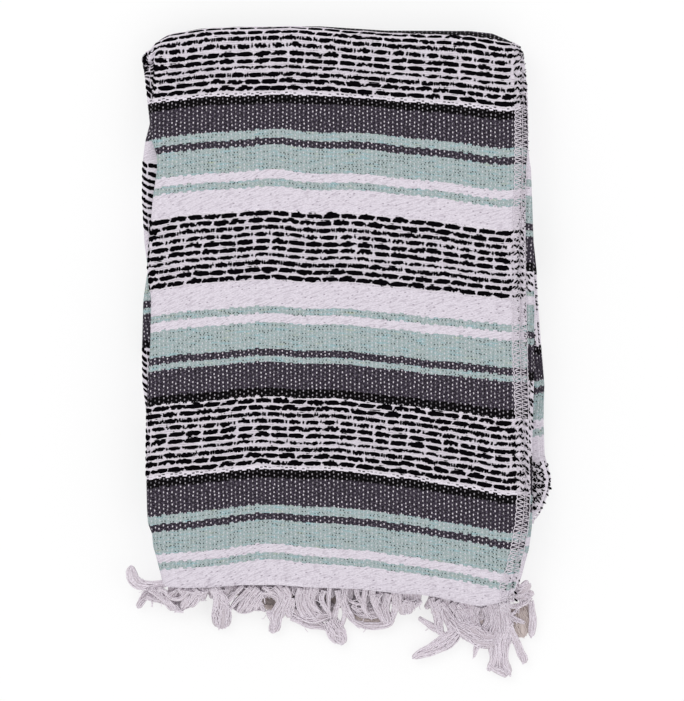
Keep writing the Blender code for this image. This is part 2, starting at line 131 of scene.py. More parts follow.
# Colours in linear light, then how strongly white warp dots, pinholes (painted dark, as shade in the holes),
# weft lines (painted shade between the weft rows) and dashes show
Yarn = namedtuple("Yarn", "colour dots pinholes lines dashes")
YARNS = {
    "white": Yarn((0.69, 0.64, 0.71), 0.04, 0.0, 0.2, 1.0),
    "ground": Yarn((0.75, 0.70, 0.77), 0.0, 0.0, 0.5, 0.3),
    "mint": Yarn((0.35, 0.415, 0.42), 0.62, 1.0, 0.15, 0.0),
    "grey": Yarn((0.0255, 0.021, 0.031), 0.95, 0.0, 0.3, 0.0),
    "black": Yarn((0.0008, 0.0007, 0.001), 0.5, 0.0, 0.2, 0.0),
}
WARP_PITCH = 3.67
DOT_PITCH = 3.6
DASH_ROW_S = 101.9

# Rows of black floats in the two patterned bands, from the hem side upwards
BAND_STARTS = [105.6, 265.5]
ROW_PITCHES = [5.87, 6.05]
FLOAT_PITCH = 14.8
FLOATS_START_X = -97.3
FLOATS_IN_ROW, FLOATS_LEFT_OF_START = 28, 7
FLOATS_END_INSET = 6.3  # the overlock begins here
LOWER_BANDS_TO_S = 429
FloatRow = namedtuple("FloatRow", "phase length thickness ticks")
FLOAT_ROWS = [FloatRow(*row) for row in (
    (0.0, 13.6, 4.7, 0),
    (0.47, 13.5, 4.8, 0),
    (0.63, 10.2, 4.5, 2),
    (0.95, 11.0, 2.9, 1),
    (0.02, 13.5, 4.7, 0),
    (0.04, 13.3, 4.8, 0),
    (0.95, 10.4, 4.0, 1),
    (0.67, 10.0, 4.3, 2),
    (0.65, 13.4, 5.0, 0),
    (0.13, 13.4, 4.8, 0),
)]

# Black knots at the right of the lower layers: x, y, length and slope
KNOTS = [(181.2, -106.5, 3.6, -0.8), (182.6, -120.0, 2.8, -1.6), (172.5, -140.0, 3.2, -0.3)]

# Locks of each fringe: how many yarns, how high the root is, then points of the middle line, each as
# x, y and the lock's width there
LOCK_ROWS = {"front": [
    (16, 24, -149, -202, 7, -160, -204, 8, -168, -204, 8.5, -174, -203, 10.5, -179, -199, 11, -181, -193,
     10.5, -181, -189, 7.5, -181, -186, 4.5),
    (8, 28, -165, -207, 6, -158, -212, 6, -151, -217, 6, -146, -222, 6, -142, -227, 5),
    (6, 30, -158, -207, 4.5, -152, -209, 4.5, -148, -214, 4.5, -141, -216, 4.5, -135, -213, 4.5, -130, -207,
     4.5),
    (9, 28, -124, -207, 8, -129, -213, 8, -135, -220, 8, -138, -225, 6),
    (8, 28, -116, -208, 6, -122, -213, 7, -127, -219, 7, -131, -224, 5),
    (7, 28, -157, -208, 6, -153, -215, 6, -149, -222, 5, -145, -227, 4.5),
    (5, 28, -168, -215, 4.5, -160, -217, 4.5, -153, -216, 4.5, -148, -212, 4.5, -141, -207, 4.5),
    (5, 26, -136, -227, 3.5, -142, -226, 4, -147, -222, 4, -150, -217, 3.5),
    (5, 29, -114, -208, 3.5, -121, -210, 4.5, -130, -209, 4.5, -139, -208, 3.5),
    (5, 28, -140, -206, 4.5, -135, -213, 4.5, -132, -220, 4.5, -130, -223, 3.5),
    (22, 30, -110, -205, 9.5, -106, -211, 11, -104, -217, 13, -103, -224, 16, -103, -231, 18, -103, -238,
     17.5, -103, -244, 13),
    (7, 30, -114, -204, 4.5, -107, -208, 5, -101, -213, 5, -99, -220, 5, -99, -227, 5, -97, -235, 5),
    (6, 30, -84, -204, 4.5, -91, -211, 4.5, -97, -218, 4.5, -102, -223, 2.5),
    (6, 30, -77, -205, 5, -84, -212, 5, -91, -219, 4.5, -97, -228, 2.5),
    (9, 29, -73, -205, 8, -80, -214, 8, -85, -222, 8, -89, -229, 7),
    (9, 29, -69, -208, 8, -75, -215, 8, -79, -222, 8, -81, -228, 7),
    (8, 29, -68, -210, 6, -71, -217, 7, -73, -222, 7, -74, -226, 6),
    (5, 28, -70, -216, 4.5, -69, -221, 4.5, -65, -228, 4.5),
    (5, 30, -67, -205, 3.5, -61, -208, 4.5, -55, -210, 4.5, -52, -215, 4.5),
    (5, 30, -68, -210, 3.5, -62, -211, 3.5, -56, -214, 4.5, -54, -220, 4.5),
    (14, 30, -56, -204, 8, -50, -211, 8.5, -50, -217, 8.5, -53, -224, 10.5, -56, -231, 11, -56, -238, 11, -58,
     -244, 10.5, -58, -247, 8),
    (6, 29, -63, -226, 4.5, -61, -231, 5, -58, -237, 5),
    (6, 30, -48, -205, 6, -44, -212, 6, -46, -220, 6, -50, -227, 6, -51, -235, 6),
    (9, 30, -42, -215, 8, -43, -221, 8.5, -44, -228, 8.5, -42, -233, 8),
    (8, 30, -34, -206, 7, -36, -215, 7, -34, -224, 7, -30, -232, 7, -23, -239, 6),
    (7, 30, -30, -205, 6, -31, -214, 6, -29, -222, 6, -24, -230, 6, -17, -238, 5, -10, -241, 3.5),
    (6, 31, -26, -205, 5, -27, -214, 5, -25, -222, 5, -21, -228, 4.5),
    (6, 31, -20, -205, 5, -23, -213, 5, -23, -220, 5, -18, -227, 4.5, -13, -232, 4.5),
    (6, 31, -14, -208, 5, -16, -216, 5, -13, -223, 5, -9, -229, 5, -8, -237, 5),
    (5, 31, -9, -205, 5, -10, -213, 4.5, -10, -220, 3.5, -9, -227, 3.5),
    (7, 31, -2, -208, 6, -1, -217, 5, -3, -224, 5, -5, -231, 6, -6, -238, 7),
    (18, 26, -9, -235, 14, -5, -242, 16.5, -2, -248, 16.5, 1, -253, 12, 2, -257, 7),
    (6, 28, -43, -233, 4.5, -36, -236, 5, -27, -240, 5, -17, -241, 5, -10, -243, 5),
    (6, 29, -50, -228, 5, -46, -224, 5, -42, -225, 5, -37, -229, 5, -37, -235, 4.5),
    (8, 30, 4, -206, 7, 3, -216, 7, 5, -224, 7, 9, -231, 7, 13, -238, 5),
    (5, 30, 1, -219, 4.5, 4, -227, 4.5, 3, -235, 4.5, 0, -242, 4.5),
    (4, 30, 8, -217, 3.5, 14, -220, 3.5, 21, -220, 3.5),
    (4, 29, 10, -222, 3.5, 15, -225, 3.5, 21, -224, 3.5),
    (5, 30, 14, -207, 4.5, 16, -214, 4.5, 19, -219, 4.5, 21, -225, 4.5, 24, -232, 4.5),
    (6, 30, 22, -207, 5, 21, -215, 5, 21, -222, 5, 23, -228, 5, 29, -235, 5),
    (8, 31, 28, -208, 7, 29, -214, 7, 31, -221, 7, 35, -228, 7, 38, -235, 7, 42, -240, 5),
    (6, 31, 36, -210, 5, 32, -216, 5, 31, -223, 5, 34, -230, 5, 38, -237, 5),
    (9, 30, 42, -211, 8, 40, -219, 8.5, 39, -226, 8.5, 41, -233, 8.5, 41, -239, 7),
    (7, 31, 47, -210, 6, 48, -217, 6, 48, -224, 6, 46, -231, 6, 44, -237, 5),
    (8, 27, 9, -234, 4.5, 16, -238, 6, 24, -240, 7, 34, -240, 7, 43, -238, 6, 48, -231, 4.5),
    (8, 30, 50, -211, 7, 52, -218, 7, 54, -225, 8, 56, -231, 7),
    (8, 30, 56, -217, 7, 59, -220, 8, 60, -225, 8, 59, -230, 6),
    (7, 30, 63, -218, 7, 63, -221, 7, 62, -226, 6),
    (5, 30, 71, -218, 3.5, 68, -220, 4.5, 64, -223, 4.5),
    (4, 30, 50, -223, 2.5, 55, -220, 2.5, 60, -218, 2.5),
    (10, 30, 79, -215, 7, 82, -223, 8, 85, -232, 8.5, 86, -241, 8.5, 88, -249, 8),
    (8, 20, 89, -241, 8.5, 83, -242, 7.5, 76, -238, 5.5, 70, -234, 4.5, 68, -233, 4),
    (18, 14, 102, -244, 10.5, 96, -251, 14.5, 88, -256, 14, 79, -261, 11, 71, -264, 9, 65, -267, 6, 63, -269,
     3.5),
    (9, 30, 84, -217, 8, 89, -226, 8, 94, -235, 8, 97, -242, 8, 96, -249, 7),
    (6, 31, 88, -219, 5, 95, -228, 5, 102, -237, 5, 110, -244, 5, 117, -250, 5, 120, -256, 4.5),
    (10, 30, 97, -219, 8, 102, -227, 8.5, 108, -235, 8, 113, -241, 7, 119, -247, 6),
    (7, 31, 103, -220, 6, 108, -227, 6, 111, -235, 6, 115, -244, 6, 118, -252, 6, 118, -259, 5),
    (6, 29, 87, -245, 5, 93, -249, 5, 99, -246, 5, 104, -241, 4.5),
    (9, 30, 119, -223, 7, 117, -229, 8, 118, -237, 8, 122, -244, 8.5, 125, -252, 9.5, 129, -259, 8.5),
    (9, 28, 126, -223, 7, 129, -231, 7, 128, -238, 8, 124, -245, 8, 121, -253, 7, 118, -261, 5, 117, -266, 3,
     115, -269, 1.5),
    (6, 31, 138, -222, 5, 135, -230, 5, 130, -237, 5, 124, -244, 5, 120, -252, 5, 118, -259, 4.5),
    (5, 29, 103, -245, 5, 109, -249, 6, 114, -254, 4.5),
    (12, 30, 131, -220, 8, 134, -229, 8.5, 135, -240, 10.5, 133, -251, 11, 134, -261, 10.5, 134, -270, 8, 130,
     -277, 7, 127, -278, 4.5),
    (12, 30, 137, -220, 8, 139, -231, 9.5, 140, -242, 10.5, 138, -252, 11, 138, -263, 10.5, 138, -272, 9.5,
     138, -280, 10.5),
    (11, 30, 143, -219, 7, 144, -229, 8, 146, -240, 8, 145, -251, 8.5, 143, -261, 8, 143, -271, 8, 146, -278,
     8.5, 149, -285, 6),
    (6, 31, 150, -237, 5, 144, -245, 5, 139, -252, 5, 137, -261, 5, 136, -273, 5),
    (6, 26, 130, -275, 6, 137, -278, 8, 143, -281, 8, 147, -283, 7),
    (10, 20, 146, -237, 6, 150, -247, 7, 154, -255, 7, 157, -263, 7.5, 160, -269, 8, 159, -274, 5),
    (4, 31, 142, -236, 3.5, 147, -244, 3.5, 150, -251, 3.5, 153, -258, 3.5),
    (5, 26, 144, -220, 3.5, 149, -223, 4, 156, -222, 4, 162, -219, 4, 166, -212, 3.5),
    (5, 22, 146, -229, 3.5, 153, -234, 4.5, 162, -238, 4.5),
    (4, 24, 147, -230, 2.5, 152, -228, 2.5, 155, -222, 2.5),
    (8, 24, 148, -217, 6, 154, -214, 7, 161, -214, 7, 167, -217, 6),
    (8, 24, 148, -210, 6, 155, -211, 7, 161, -207, 7, 166, -202, 4.5),
    (6, 24, 151, -202, 5, 156, -206, 5, 161, -202, 5, 164, -201, 3.5),
    (6, 22, 156, -219, 5, 162, -218, 5, 167, -221, 4.5),
    (7, 22, 157, -210, 6, 163, -211, 7, 169, -212, 5),
], "back": [
    (9, 8, -160, -209, 7, -167, -211, 8, -171, -216, 7, -174, -221, 6.5, -177, -225, 5.5),
    (12, 7, -165, -212, 12, -154, -215, 12, -142, -220, 14, -132, -218, 13, -120, -212, 8.5),
    (10, 7, -92, -221, 8.5, -84, -224, 12, -75, -222, 10.5, -66, -226, 7),
    (16, 7, -45, -218, 10.5, -35, -226, 19, -23, -228, 20.5, -10, -226, 19, -2, -223, 14),
    (14, 7, 9, -218, 12, 19, -224, 17.5, 30, -225, 19, 42, -224, 15.5),
    (14, 7, 97, -233, 10.5, 106, -240, 15.5, 117, -247, 17.5, 127, -252, 17.5, 138, -252, 14),
    (8, 18, 166, -218, 6, 167, -227, 6, 168, -235, 7, 167, -244, 7, 166, -251, 5),
], "shade_locks": [
    # Low locks in a darker, browner yarn: painted shade that shows through the gaps between the locks above
    (10, 8, 155, -220, 14, 157, -228, 19, 158, -237, 20.5, 158, -244, 17.5, 161, -251, 8.5),
    (2, 8, -112, -206, 15, -85, -207, 16, -60, -208, 17, -40, -212, 20, -10, -214, 22, 20, -214, 22, 48, -214,
     16),
    (2, 8, 88, -221, 14, 105, -227, 20, 122, -232, 24, 136, -236, 20),
    (4, 8, -76, -213, 10, -68, -217, 13, -60, -220, 14, -52, -219, 10),
    (4, 8, 8, -230, 8, 19, -235, 12, 30, -237, 12, 42, -233, 8),
]}
Lock = namedtuple("Lock", "group yarns root_z line")
LOCKS = [
    Lock(group, row[0], row[1], np.reshape(row[2:], (-1, 3)))
    for group, rows in LOCK_ROWS.items()
    for row in rows
]
ROOT_GAP = (70.0, 78.5)  # from x to x, where the floor shows between the locks at the hem
STRAYS = 260
LOCK_STEPS = 18
FRINGE_LOWEST_Y = -277.0
FRINGE_Y = -207.0
FRINGE_FALL = 36.0  # the run over which the locks fall to the surface
FRINGE_REST_Z = 7.0
YARN_RADIUS = 0.55
BACK_LOCKS_Z = 9.0

# Where the edges and the stripes of the layers at each side are read
SIDE_X = -165.0
FRONT_SELVEDGE_X = 155.0
SECOND_SELVEDGE_X = 158.0
SPECKS_X = 157.0
BITS_X = 160.0
RIGHT_LAYERS_X = 163.0
LOWER_LAYERS_X = 172.0

CELL = 2.5  # of the cloth's grid
UNDER_CLEAR = 0.7  # the underside stands this far off the floor, for the floats woven into it

# How the stripes of the layers that peek out are placed along the blanket, against the front's
LEFT_LAYERS_SHIFT = -51.0
LEFT_SHIFTS_BELOW_S = 391.0  # from here to the next distance the layers at the left match the front
LEFT_MATCHES_TO_S = 500.0
RIGHT_UPPER_SHIFT = 197.9
RIGHT_LOWER_SHIFT = 291.4
RIGHT_SHIFT_CHANGES_AT_S = 270.0
RIGHT_UNDER_SHIFT = 54.2  # for the layers of the lower half
SHIFT_JUMP = 20.0  # a larger change of shift is made within one short row of faces

# Black yarn on the layers at the right: the edges it lies between, how deep it lies, how far the
# stripes are moved there, and from where to where along the cloth
BitRun = namedtuple("BitRun", "inner outer depth shift from_s to_s")
BITS_FROM_S, BITS_TO_S = 6.0, 500.0
SECOND_LAYER_TO_S = 450.0
LOWER_BITS_FROM_S = 530.0
LOWER_BITS_BELOW_Y = 220
DENSE_BITS_BELOW_Y = -85
SPECKS_FROM_S, DENSE_SPECKS_FROM_S, SPECKS_TO_S, SPECKS_STEP = 16.0, 420, 485.0, 1.9
BIT_RUNS = [
    BitRun("front", "second", LAYER, 0.0, BITS_FROM_S, BITS_TO_S),
    BitRun("second", "loop", 2 * LAYER, RIGHT_UPPER_SHIFT, RIGHT_SHIFT_CHANGES_AT_S, SECOND_LAYER_TO_S),
    BitRun("second", "loop", 2 * LAYER, RIGHT_LOWER_SHIFT, BITS_FROM_S, RIGHT_SHIFT_CHANGES_AT_S),
    BitRun("loop", "third", 4 * LAYER, RIGHT_LOWER_SHIFT, BITS_FROM_S, RIGHT_SHIFT_CHANGES_AT_S),
]

# The studio, in metres
FLOOR_HALF_WIDTH = 4
# How strongly the floor glows, as painted light that lifts the shadows on it
FLOOR_GLOW = 0.685
DAYLIGHT = 0.95
LIGHTS = [
    ("key_light", (-1.1, 1.3, 2.2), 1.6, 14.0),
    ("fill_light", (1.4, -0.8, 2.0), 1.8, 6.0),
]
# Camera, with its height and that of its view in metres
CAMERA_X = 1.7
CAMERA_Y = -0.4
CAMERA_HEIGHT = 5.0
VIEW_HEIGHT = 0.605  # of what the view takes in at the top of the stack
SENSOR = 36.0

# The photo's scale, and its pixel over the middle of the blanket
MM_PER_PIXEL = 0.863
MIDDLE_PX, MIDDLE_PY = 340, 350

rng = np.random.default_rng(12)


def about(spread):
    return rng.uniform(-spread, spread)


# Shape of the stack

def column(name):
    rows = sorted(EDGES, key=lambda row: row.y)
    ys = [row.y for row in rows]
    xs = [getattr(row, name) for row in rows]
    return lambda y: np.interp(y, ys, xs)


EDGE = {name: column(name) for name in Edges._fields if name != "y"}


def along(outline, x):
    return np.interp(x, *zip(*outline))


def eased(t):
    t = np.clip(t, 0.0, 1.0)
    return t * t * (3 - 2 * t)


def fold_centre(x):
    return along(TOP_EDGE, x) - HALF_STACK


def fold_arc(x):
    """The stripes' distance over the top fold, for each radian of it."""
    return HALF_STACK * (FOLD_STRETCH + (FOLD_STRETCH_AT_RIGHT - FOLD_STRETCH) * eased((x + 45) / 50))


def bend(x, y, hemmed=True):
    """How far a nominal y moves, to follow the top edge and the hem."""
    towards_fold = eased((y - TOP_EDGE_BENDS_FROM_Y) / (FOLD_Y - TOP_EDGE_BENDS_FROM_Y))
    moved = (fold_centre(x) - FOLD_Y) * towards_fold
    if hemmed:
        towards_hem = eased((HEM_BENDS_FROM_Y - y) / (HEM_BENDS_FROM_Y - HEM_Y))
        moved = moved + (along(HEM_EDGE, x) - HEM_Y) * towards_hem
    return moved


def nominal_y(x, y, hemmed=True):
    """The nominal y that bends to y."""
    found = y
    for _ in range(4):
        found = y - bend(x, found, hemmed)
    return found


def crown(x, z):
    return CROWN * (1 - (x / CROWN_HALF_WIDTH) ** 2) * z / (2 * HALF_STACK)


def ripple(x, y):
    """Soft unevenness of the cloth's top, most of it near the hem."""
    low = 0.5 * np.sin(x / 31 + 0.8) * np.sin(y / 47 + 0.3) + 0.3 * np.sin(x / 17 - y / 60 + 2.0)
    hem = eased((-120 - y) / 70) * (0.9 * np.sin(x / 21 + 1.1) + 0.5 * np.sin(x / 9.5 + 0.2))
    return low + hem


def upper_z(y, depth):
    top_sag = eased((TOP_SAGS_FROM_Y - y) / (TOP_SAGS_FROM_Y - HEM_Y))
    under_sag = eased((UNDER_SAGS_FROM_Y - y) / (UNDER_SAGS_FROM_Y - UNDER_SAGS_TO_Y))
    top = 2 * HALF_STACK - (2 * HALF_STACK - HEM_TOP_Z) * top_sag
    under = HALF_STACK - (HALF_STACK - HEM_UNDER_Z) * under_sag
    share = np.clip((depth - STRIP) / STRIP, 0.0, 1.0)
    parted = (top - STRIP) * (1 - share) + under * share
    return np.where(depth <= STRIP, top - depth, parted)


def on_top(x, y, depth):
    z = upper_z(y, depth)
    z = z + crown(x, z) + ripple(x, y) * z / (2 * HALF_STACK)
    return np.stack(np.broadcast_arrays(x, y + bend(x, y), z), -1)


def on_fold(x, angle, depth):
    radius = HALF_STACK - depth
    z = HALF_STACK + radius * np.cos(angle)
    z = z + crown(x, z) + ripple(x, FOLD_Y) * np.clip(z / (2 * HALF_STACK), 0, 1) * np.cos(angle / 2) ** 2
    z = np.maximum(z, 0.02) + UNDER_CLEAR * eased(angle / np.pi)
    return np.stack(np.broadcast_arrays(x, fold_centre(x) + radius * np.sin(angle), z), -1)


def on_underside(x, y, depth):
    z = depth + crown(x, depth) + UNDER_CLEAR
    return np.stack(np.broadcast_arrays(x, y + bend(x, y, False), z), -1)


def on_loop(x, angle, depth):
    radius = LOOP_RADIUS - depth
    z = LOOP_RADIUS - radius * np.cos(angle) + UNDER_CLEAR * (1 - eased(angle / np.pi))
    return np.stack(np.broadcast_arrays(x, LOOP_Y - radius * np.sin(angle), z + crown(x, z)), -1)


# Where the stripes lie

def hill(*axes):
    """A rise to 1, from values with the middle, the half width and the steepness along each."""
    return np.exp(-sum(((value - middle) / wide) ** power for value, middle, wide, power in axes))


def stripe_bow(x, y):
    """How far the stripes hang below their height in the middle, charted in the photo's pixels."""
    px, py = MIDDLE_PX + x / MM_PER_PIXEL, MIDDLE_PY - y / MM_PER_PIXEL
    left = 7.0 * (np.clip(230 - px, 0, None) / 75) ** 1.5
    slope = np.interp(py, [110, 220, 340, 430, 520], [14.2, 16.5, 15.6, 18.7, 23.4])
    right = slope * (np.clip(px - 335, 0, None) / 163) ** 1.35
    right = right - 3.0 * eased((px - 503) / 20)
    rise = np.interp(py, [70, 100, 130, 160, 190, 250, 280, 340, 400, 490, 520, 560],
                     [2.2, 1.3, 3.8, 4.9, 3.2, 2.9, 1.8, 1.7, 3.0, 2.9, 5.2, 6.0])
    rise = -rise * hill((px, 268, 34, 2))
    rise = rise - 2.0 * hill((px, 165, 18, 2), (py, 175, 45, 2))
    left = left + 2.0 * eased((py - 420) / 100) * eased((262 - px) / 40)
    left = left - 2.8 * eased((py - 530) / 35) * eased((220 - px) / 50)
    dip = 1.6 * np.clip((py - 300) / 280, 0, 1) * hill((px, 392, 14, 2))
    dip = dip + 2.3 * hill((px, 427, 18, 2), (py, 335, 75, 4))
    dip = dip + 1.8 * hill((px, 375, 32, 4)) * eased((115 - py) / 20)
    dip = dip + 2.0 * hill((px, 490, 22, 2), (py, 445, 50, 4))
    wave = 0.5 * np.sin(px / 13 + py / 90) + 0.4 * np.sin(px / 29 - py / 57 + 1.0)
    return MM_PER_PIXEL * (left + right + rise + dip + wave)


def stripe_on_top(x, y):
    return y - HEM_Y + HEM_S + stripe_bow(x, y)


def fold_start_s(x):
    return stripe_on_top(x, fold_centre(x))


def fold_end_s(x):
    return fold_start_s(x) + fold_arc(x) * np.pi


def under_y_at(x, s):
    return fold_centre(x) - (s - fold_start_s(x) - fold_arc(x) * np.pi)


def front_y(x, s):
    """About where s lies on the front."""
    return s + HEM_Y - stripe_bow(x, s + HEM_Y)


def mixed_edges(y, share):
    """The edges at y, from those of the upper strips to those of the lower ones, by share."""
    upper = {name: EDGE[name](y) for name in EDGE}
    lower = dict(
        left=upper["lower_left"] + LOWER_LEFT_INSET,
        middle_left=upper["lower_left"],
        front=upper["lower"] - LOWER_FRONT_INSET,
        second=upper["lower"] - LOWER_SECOND_INSET,
        loop=upper["lower"],
        third=upper["lower"] - LOWER_THIRD_INSET,
    )
    left_share = eased((share - 0.22) / 0.18)
    mixed = {name: upper[name] * (1 - share) + lower[name] * share for name in lower}
    for name in ("left", "middle_left"):
        mixed[name] = upper[name] * (1 - left_share) + lower[name] * left_share
    return mixed


def side_y(y):
    """Where the sides of the stack are at a nominal y, which the top fold bends at the corners."""
    towards_fold = eased((y - TOP_EDGE_BENDS_FROM_Y) / (FOLD_Y - TOP_EDGE_BENDS_FROM_Y))
    return y + (fold_centre(SIDE_X) - FOLD_Y) * towards_fold


def fold_side_y(angle):
    return fold_centre(SIDE_X) + HALF_STACK * np.sin(angle)


def fold_edges(angle):
    """The edges on the top fold, where the layers further in turn nearer to its centre."""
    share = eased(angle / np.pi)
    inner_y = fold_centre(SIDE_X) + STRIP / 2 * np.sin(angle)
    inner = mixed_edges(inner_y, share)["middle_left"]
    return {**mixed_edges(fold_side_y(angle), share), "middle_left": inner}


def on_cloth(across, s, depth, round_left=True):
    """Points of the outer cloth, from distances across and along it, also round its left fold.

    Without round_left, across is plain x, and depth may reach the layers further in.
    """
    across, s, depth = np.broadcast_arrays(across, s, depth)
    x = np.maximum(across, LEAST_ACROSS) if round_left else across
    fold_s = fold_start_s(x)
    y = s + HEM_Y - HEM_S
    for _ in range(6):
        y = s + HEM_Y - HEM_S - stripe_bow(x, y)
    top_y = nominal_y(x, y)
    arc = fold_arc(x)
    angle = np.clip((s - fold_s) / arc, 0, np.pi)
    under_y = fold_centre(x) - (s - fold_s - arc * np.pi)
    low_y = nominal_y(x, under_y, False)
    on_front, on_back = s < fold_s, s > fold_s + arc * np.pi
    if round_left:
        side = np.where(on_front, side_y(top_y), np.where(on_back, side_y(low_y), fold_side_y(angle)))
        share = np.where(on_front, 0.0, np.where(on_back, 1.0, eased(angle / np.pi)))
        radius = STRIP / 2
        middle = mixed_edges(np.maximum(side, LOOP_Y - LOOP_RADIUS), share)["left"] + radius
        turn = np.clip((middle - across) / radius, 0, np.pi)
        x = np.where(turn > 0, middle - (radius - depth) * np.sin(turn), across)
        depth = np.where(turn > 0, radius - (radius - depth) * np.cos(turn), depth)
    top = on_top(x, top_y, depth)
    fold = on_fold(x, angle, depth)
    under = on_underside(x, low_y, depth)
    loop = on_loop(x, np.clip((LOOP_Y - under_y) / LOOP_RADIUS, 0, np.pi), depth)
    points = np.where(on_front[..., None], top, fold)
    points = np.where(on_back[..., None], under, points)
    return np.where((under_y < LOOP_Y)[..., None], loop, points)


Station = namedtuple("Station", "on at edge fold_depth share deepest travelled")


def stations():
    """Places along the cloth from the hem to the end of the loop.

    on(x, at, depth) gives points, and travelled(x) the distance along the cloth there.
    """
    def top(y):
        edge = mixed_edges(side_y(y), 0.0)
        return Station(on_top, y, edge, STRIP, 0.0, HALF_STACK,
                       lambda x: stripe_on_top(x, y + bend(x, y)))

    def fold(angle):
        return Station(on_fold, angle, fold_edges(angle), STRIP, angle / np.pi, HALF_STACK,
                       lambda x: fold_start_s(x) + fold_arc(x) * angle)

    def under(y):
        edge = mixed_edges(side_y(y), 1.0)
        share = np.clip((TUCK_SHRINKS_FROM_Y - y) / (TUCK_SHRINKS_FROM_Y - TUCK_SHRINKS_TO_Y), 0, 1)
        tuck = STRIP - (STRIP - LOOP_TUCK_DEPTH) * share
        return Station(on_underside, y, edge, tuck, 1.0, HALF_STACK,
                       lambda x: fold_end_s(x) + (fold_centre(x) - y - bend(x, y, False)))

    def loop(angle):
        edge = mixed_edges(LOOP_Y - LOOP_RADIUS * math.sin(angle), 1.0)
        return Station(on_loop, angle, edge, LOOP_TUCK_DEPTH, 1.0, LOOP_RADIUS - 0.5,
                       lambda x: fold_end_s(x) + (fold_centre(x) - LOOP_Y) + LOOP_RADIUS * angle)

    made = [top(HEM_Y)]
    for make, start, end, length in (
        (top, HEM_Y, FOLD_Y, FOLD_Y - HEM_Y),
        (fold, 0, np.pi, np.pi * HALF_STACK),
        (under, FOLD_Y, LOOP_Y, FOLD_Y - LOOP_Y),
        (loop, 0, np.pi, np.pi * LOOP_RADIUS),
    ):
        made += [make(at) for at in np.linspace(start, end, round(length / CELL) + 1)[1:]]
    return made


# Meshes

class Faces:
    """Gathers grids and tubes of one piece, with the cloth's own coordinates at each point."""

    def __init__(self):
        self.points, self.places, self.quads = [], [], []
        self.count = 0

    def grid(self, points, places, around=False):
        """points is rows x columns x 3, and places rows x columns x 2."""
        rows, columns = points.shape[:2]
        index = self.count + np.arange(rows * columns).reshape(rows, columns)
        if around:
            index = np.concatenate([index, index[:, :1]], axis=1)
        quads = np.stack([index[:-1, :-1], index[:-1, 1:], index[1:, 1:], index[1:, :-1]], -1)
        self.quads.append(quads.reshape(-1, 4))
        self.points.append(points.reshape(-1, 3))
        self.places.append(np.broadcast_to(places, (rows, columns, 2)).reshape(-1, 2))
        self.count += rows * columns

    def tube(self, path, radius, sides=5, places=(0.0, 0.0)):
        """A round strand along path, an array of points, with a radius for each."""
        path = np.asarray(path, float)
        along_path = np.gradient(path, axis=0)
        along_path /= np.linalg.norm(along_path, axis=1, keepdims=True) + 1e-9
        up = np.where(np.abs(along_path[:, 2:3]) > 0.9, (1.0, 0.0, 0.0), (0.0, 0.0, 1.0))
        side = np.cross(along_path, up)
        side /= np.linalg.norm(side, axis=1, keepdims=True) + 1e-9
        over = np.cross(side, along_path)
        turn = np.linspace(0, 2 * np.pi, sides, endpoint=False)
        radius = np.broadcast_to(radius, len(path))
        ring = side[:, None] * np.cos(turn)[None, :, None] + over[:, None] * np.sin(turn)[None, :, None]
        points = path[:, None] + ring * radius[:, None, None]
        self.grid(points, np.asarray(places, float), around=True)

    def piece(self, name, material):
        points = np.concatenate(self.points) * MM
        quads = np.concatenate(self.quads)
        places = np.concatenate(self.places)
        data = bpy.data.meshes.new(name)
        data.vertices.add(len(points))
        data.vertices.foreach_set("co", points.astype(np.float32).ravel())
        data.loops.add(quads.size)
        data.loops.foreach_set("vertex_index", quads.astype(np.int32).ravel())
        data.polygons.add(len(quads))
        data.polygons.foreach_set("loop_start", np.arange(0, quads.size, 4, dtype=np.int32))
        data.update(calc_edges=True)
        layer = data.uv_layers.new(name="cloth")
        layer.data.foreach_set("uv", (places[quads.ravel()] / 100).astype(np.float32).ravel())
        data.shade_smooth()
        data.materials.append(material)
        made = bpy.data.objects.new(name, data)
        bpy.context.scene.collection.objects.link(made)
        return made


def wall_line(edge, fold_depth, inset):
    """The outer cloth's section as x, depth and distance across, from its tuck to its right edge."""
    left, right = edge["left"], edge["front"]
    radius = fold_depth / 2
    middle = left + radius
    turns = np.radians(np.linspace(180, 0, 11))
    tucked = [TUCK * share for share in (1.0, 0.66, 0.33)]
    xs = [middle + run for run in tucked]
    ds = [fold_depth - inset] * 3
    xs += list(middle - (radius - inset) * np.sin(turns))
    ds += list(radius - (radius - inset) * np.cos(turns))
    flat = np.linspace(middle, right - 1.2, 127)[1:]
    xs += list(flat)
    ds += [inset] * len(flat)
    across = [middle - math.pi * radius - run for run in tucked]
    across += list(middle - radius * turns) + list(flat)
    if inset == 0.0:
        round_edge = [(0.45, 0.12), (0.85, 0.5), (1.2, 1.5), (0.85, 2.5), (0.45, 2.88), (-1.5, 3.0),
                      (-7, 3.0)]
        xs += [right - 1.2 + out for out, _ in round_edge]
        ds += [depth for _, depth in round_edge]
        across += [right - 1.2 + reach for reach in (0.5, 1.0, 2.0, 3.0, 3.6, 5.5, 11.0)]
    return np.array(xs), np.array(ds), np.array(across)


def striped_sheet(material):
    """The outer cloth, closed round its selvedge and its two ends."""
    cloth = Faces()
    rows, places = [], []
    for station in stations():
        x, depth, across = wall_line(station.edge, station.fold_depth, 0.0)
        rows.append(station.on(x, station.at, depth))
        places.append(np.stack([across, station.travelled(x)], -1))
    rolled = []
    for out, depth in ((-12.0, 2.6), (-3.0, 2.4), (-0.2, 2.0), (0.3, 1.2), (0.2, 0.4)):
        end = rows[0].copy()
        end[:, 1] -= out
        end[:, 2] -= depth
        rolled.append(end)
    rows = rolled + rows
    places = [places[0]] * len(rolled) + places
    cloth.grid(np.array(rows), np.array(places))
    return cloth.piece("striped_cloth_sheet", material)


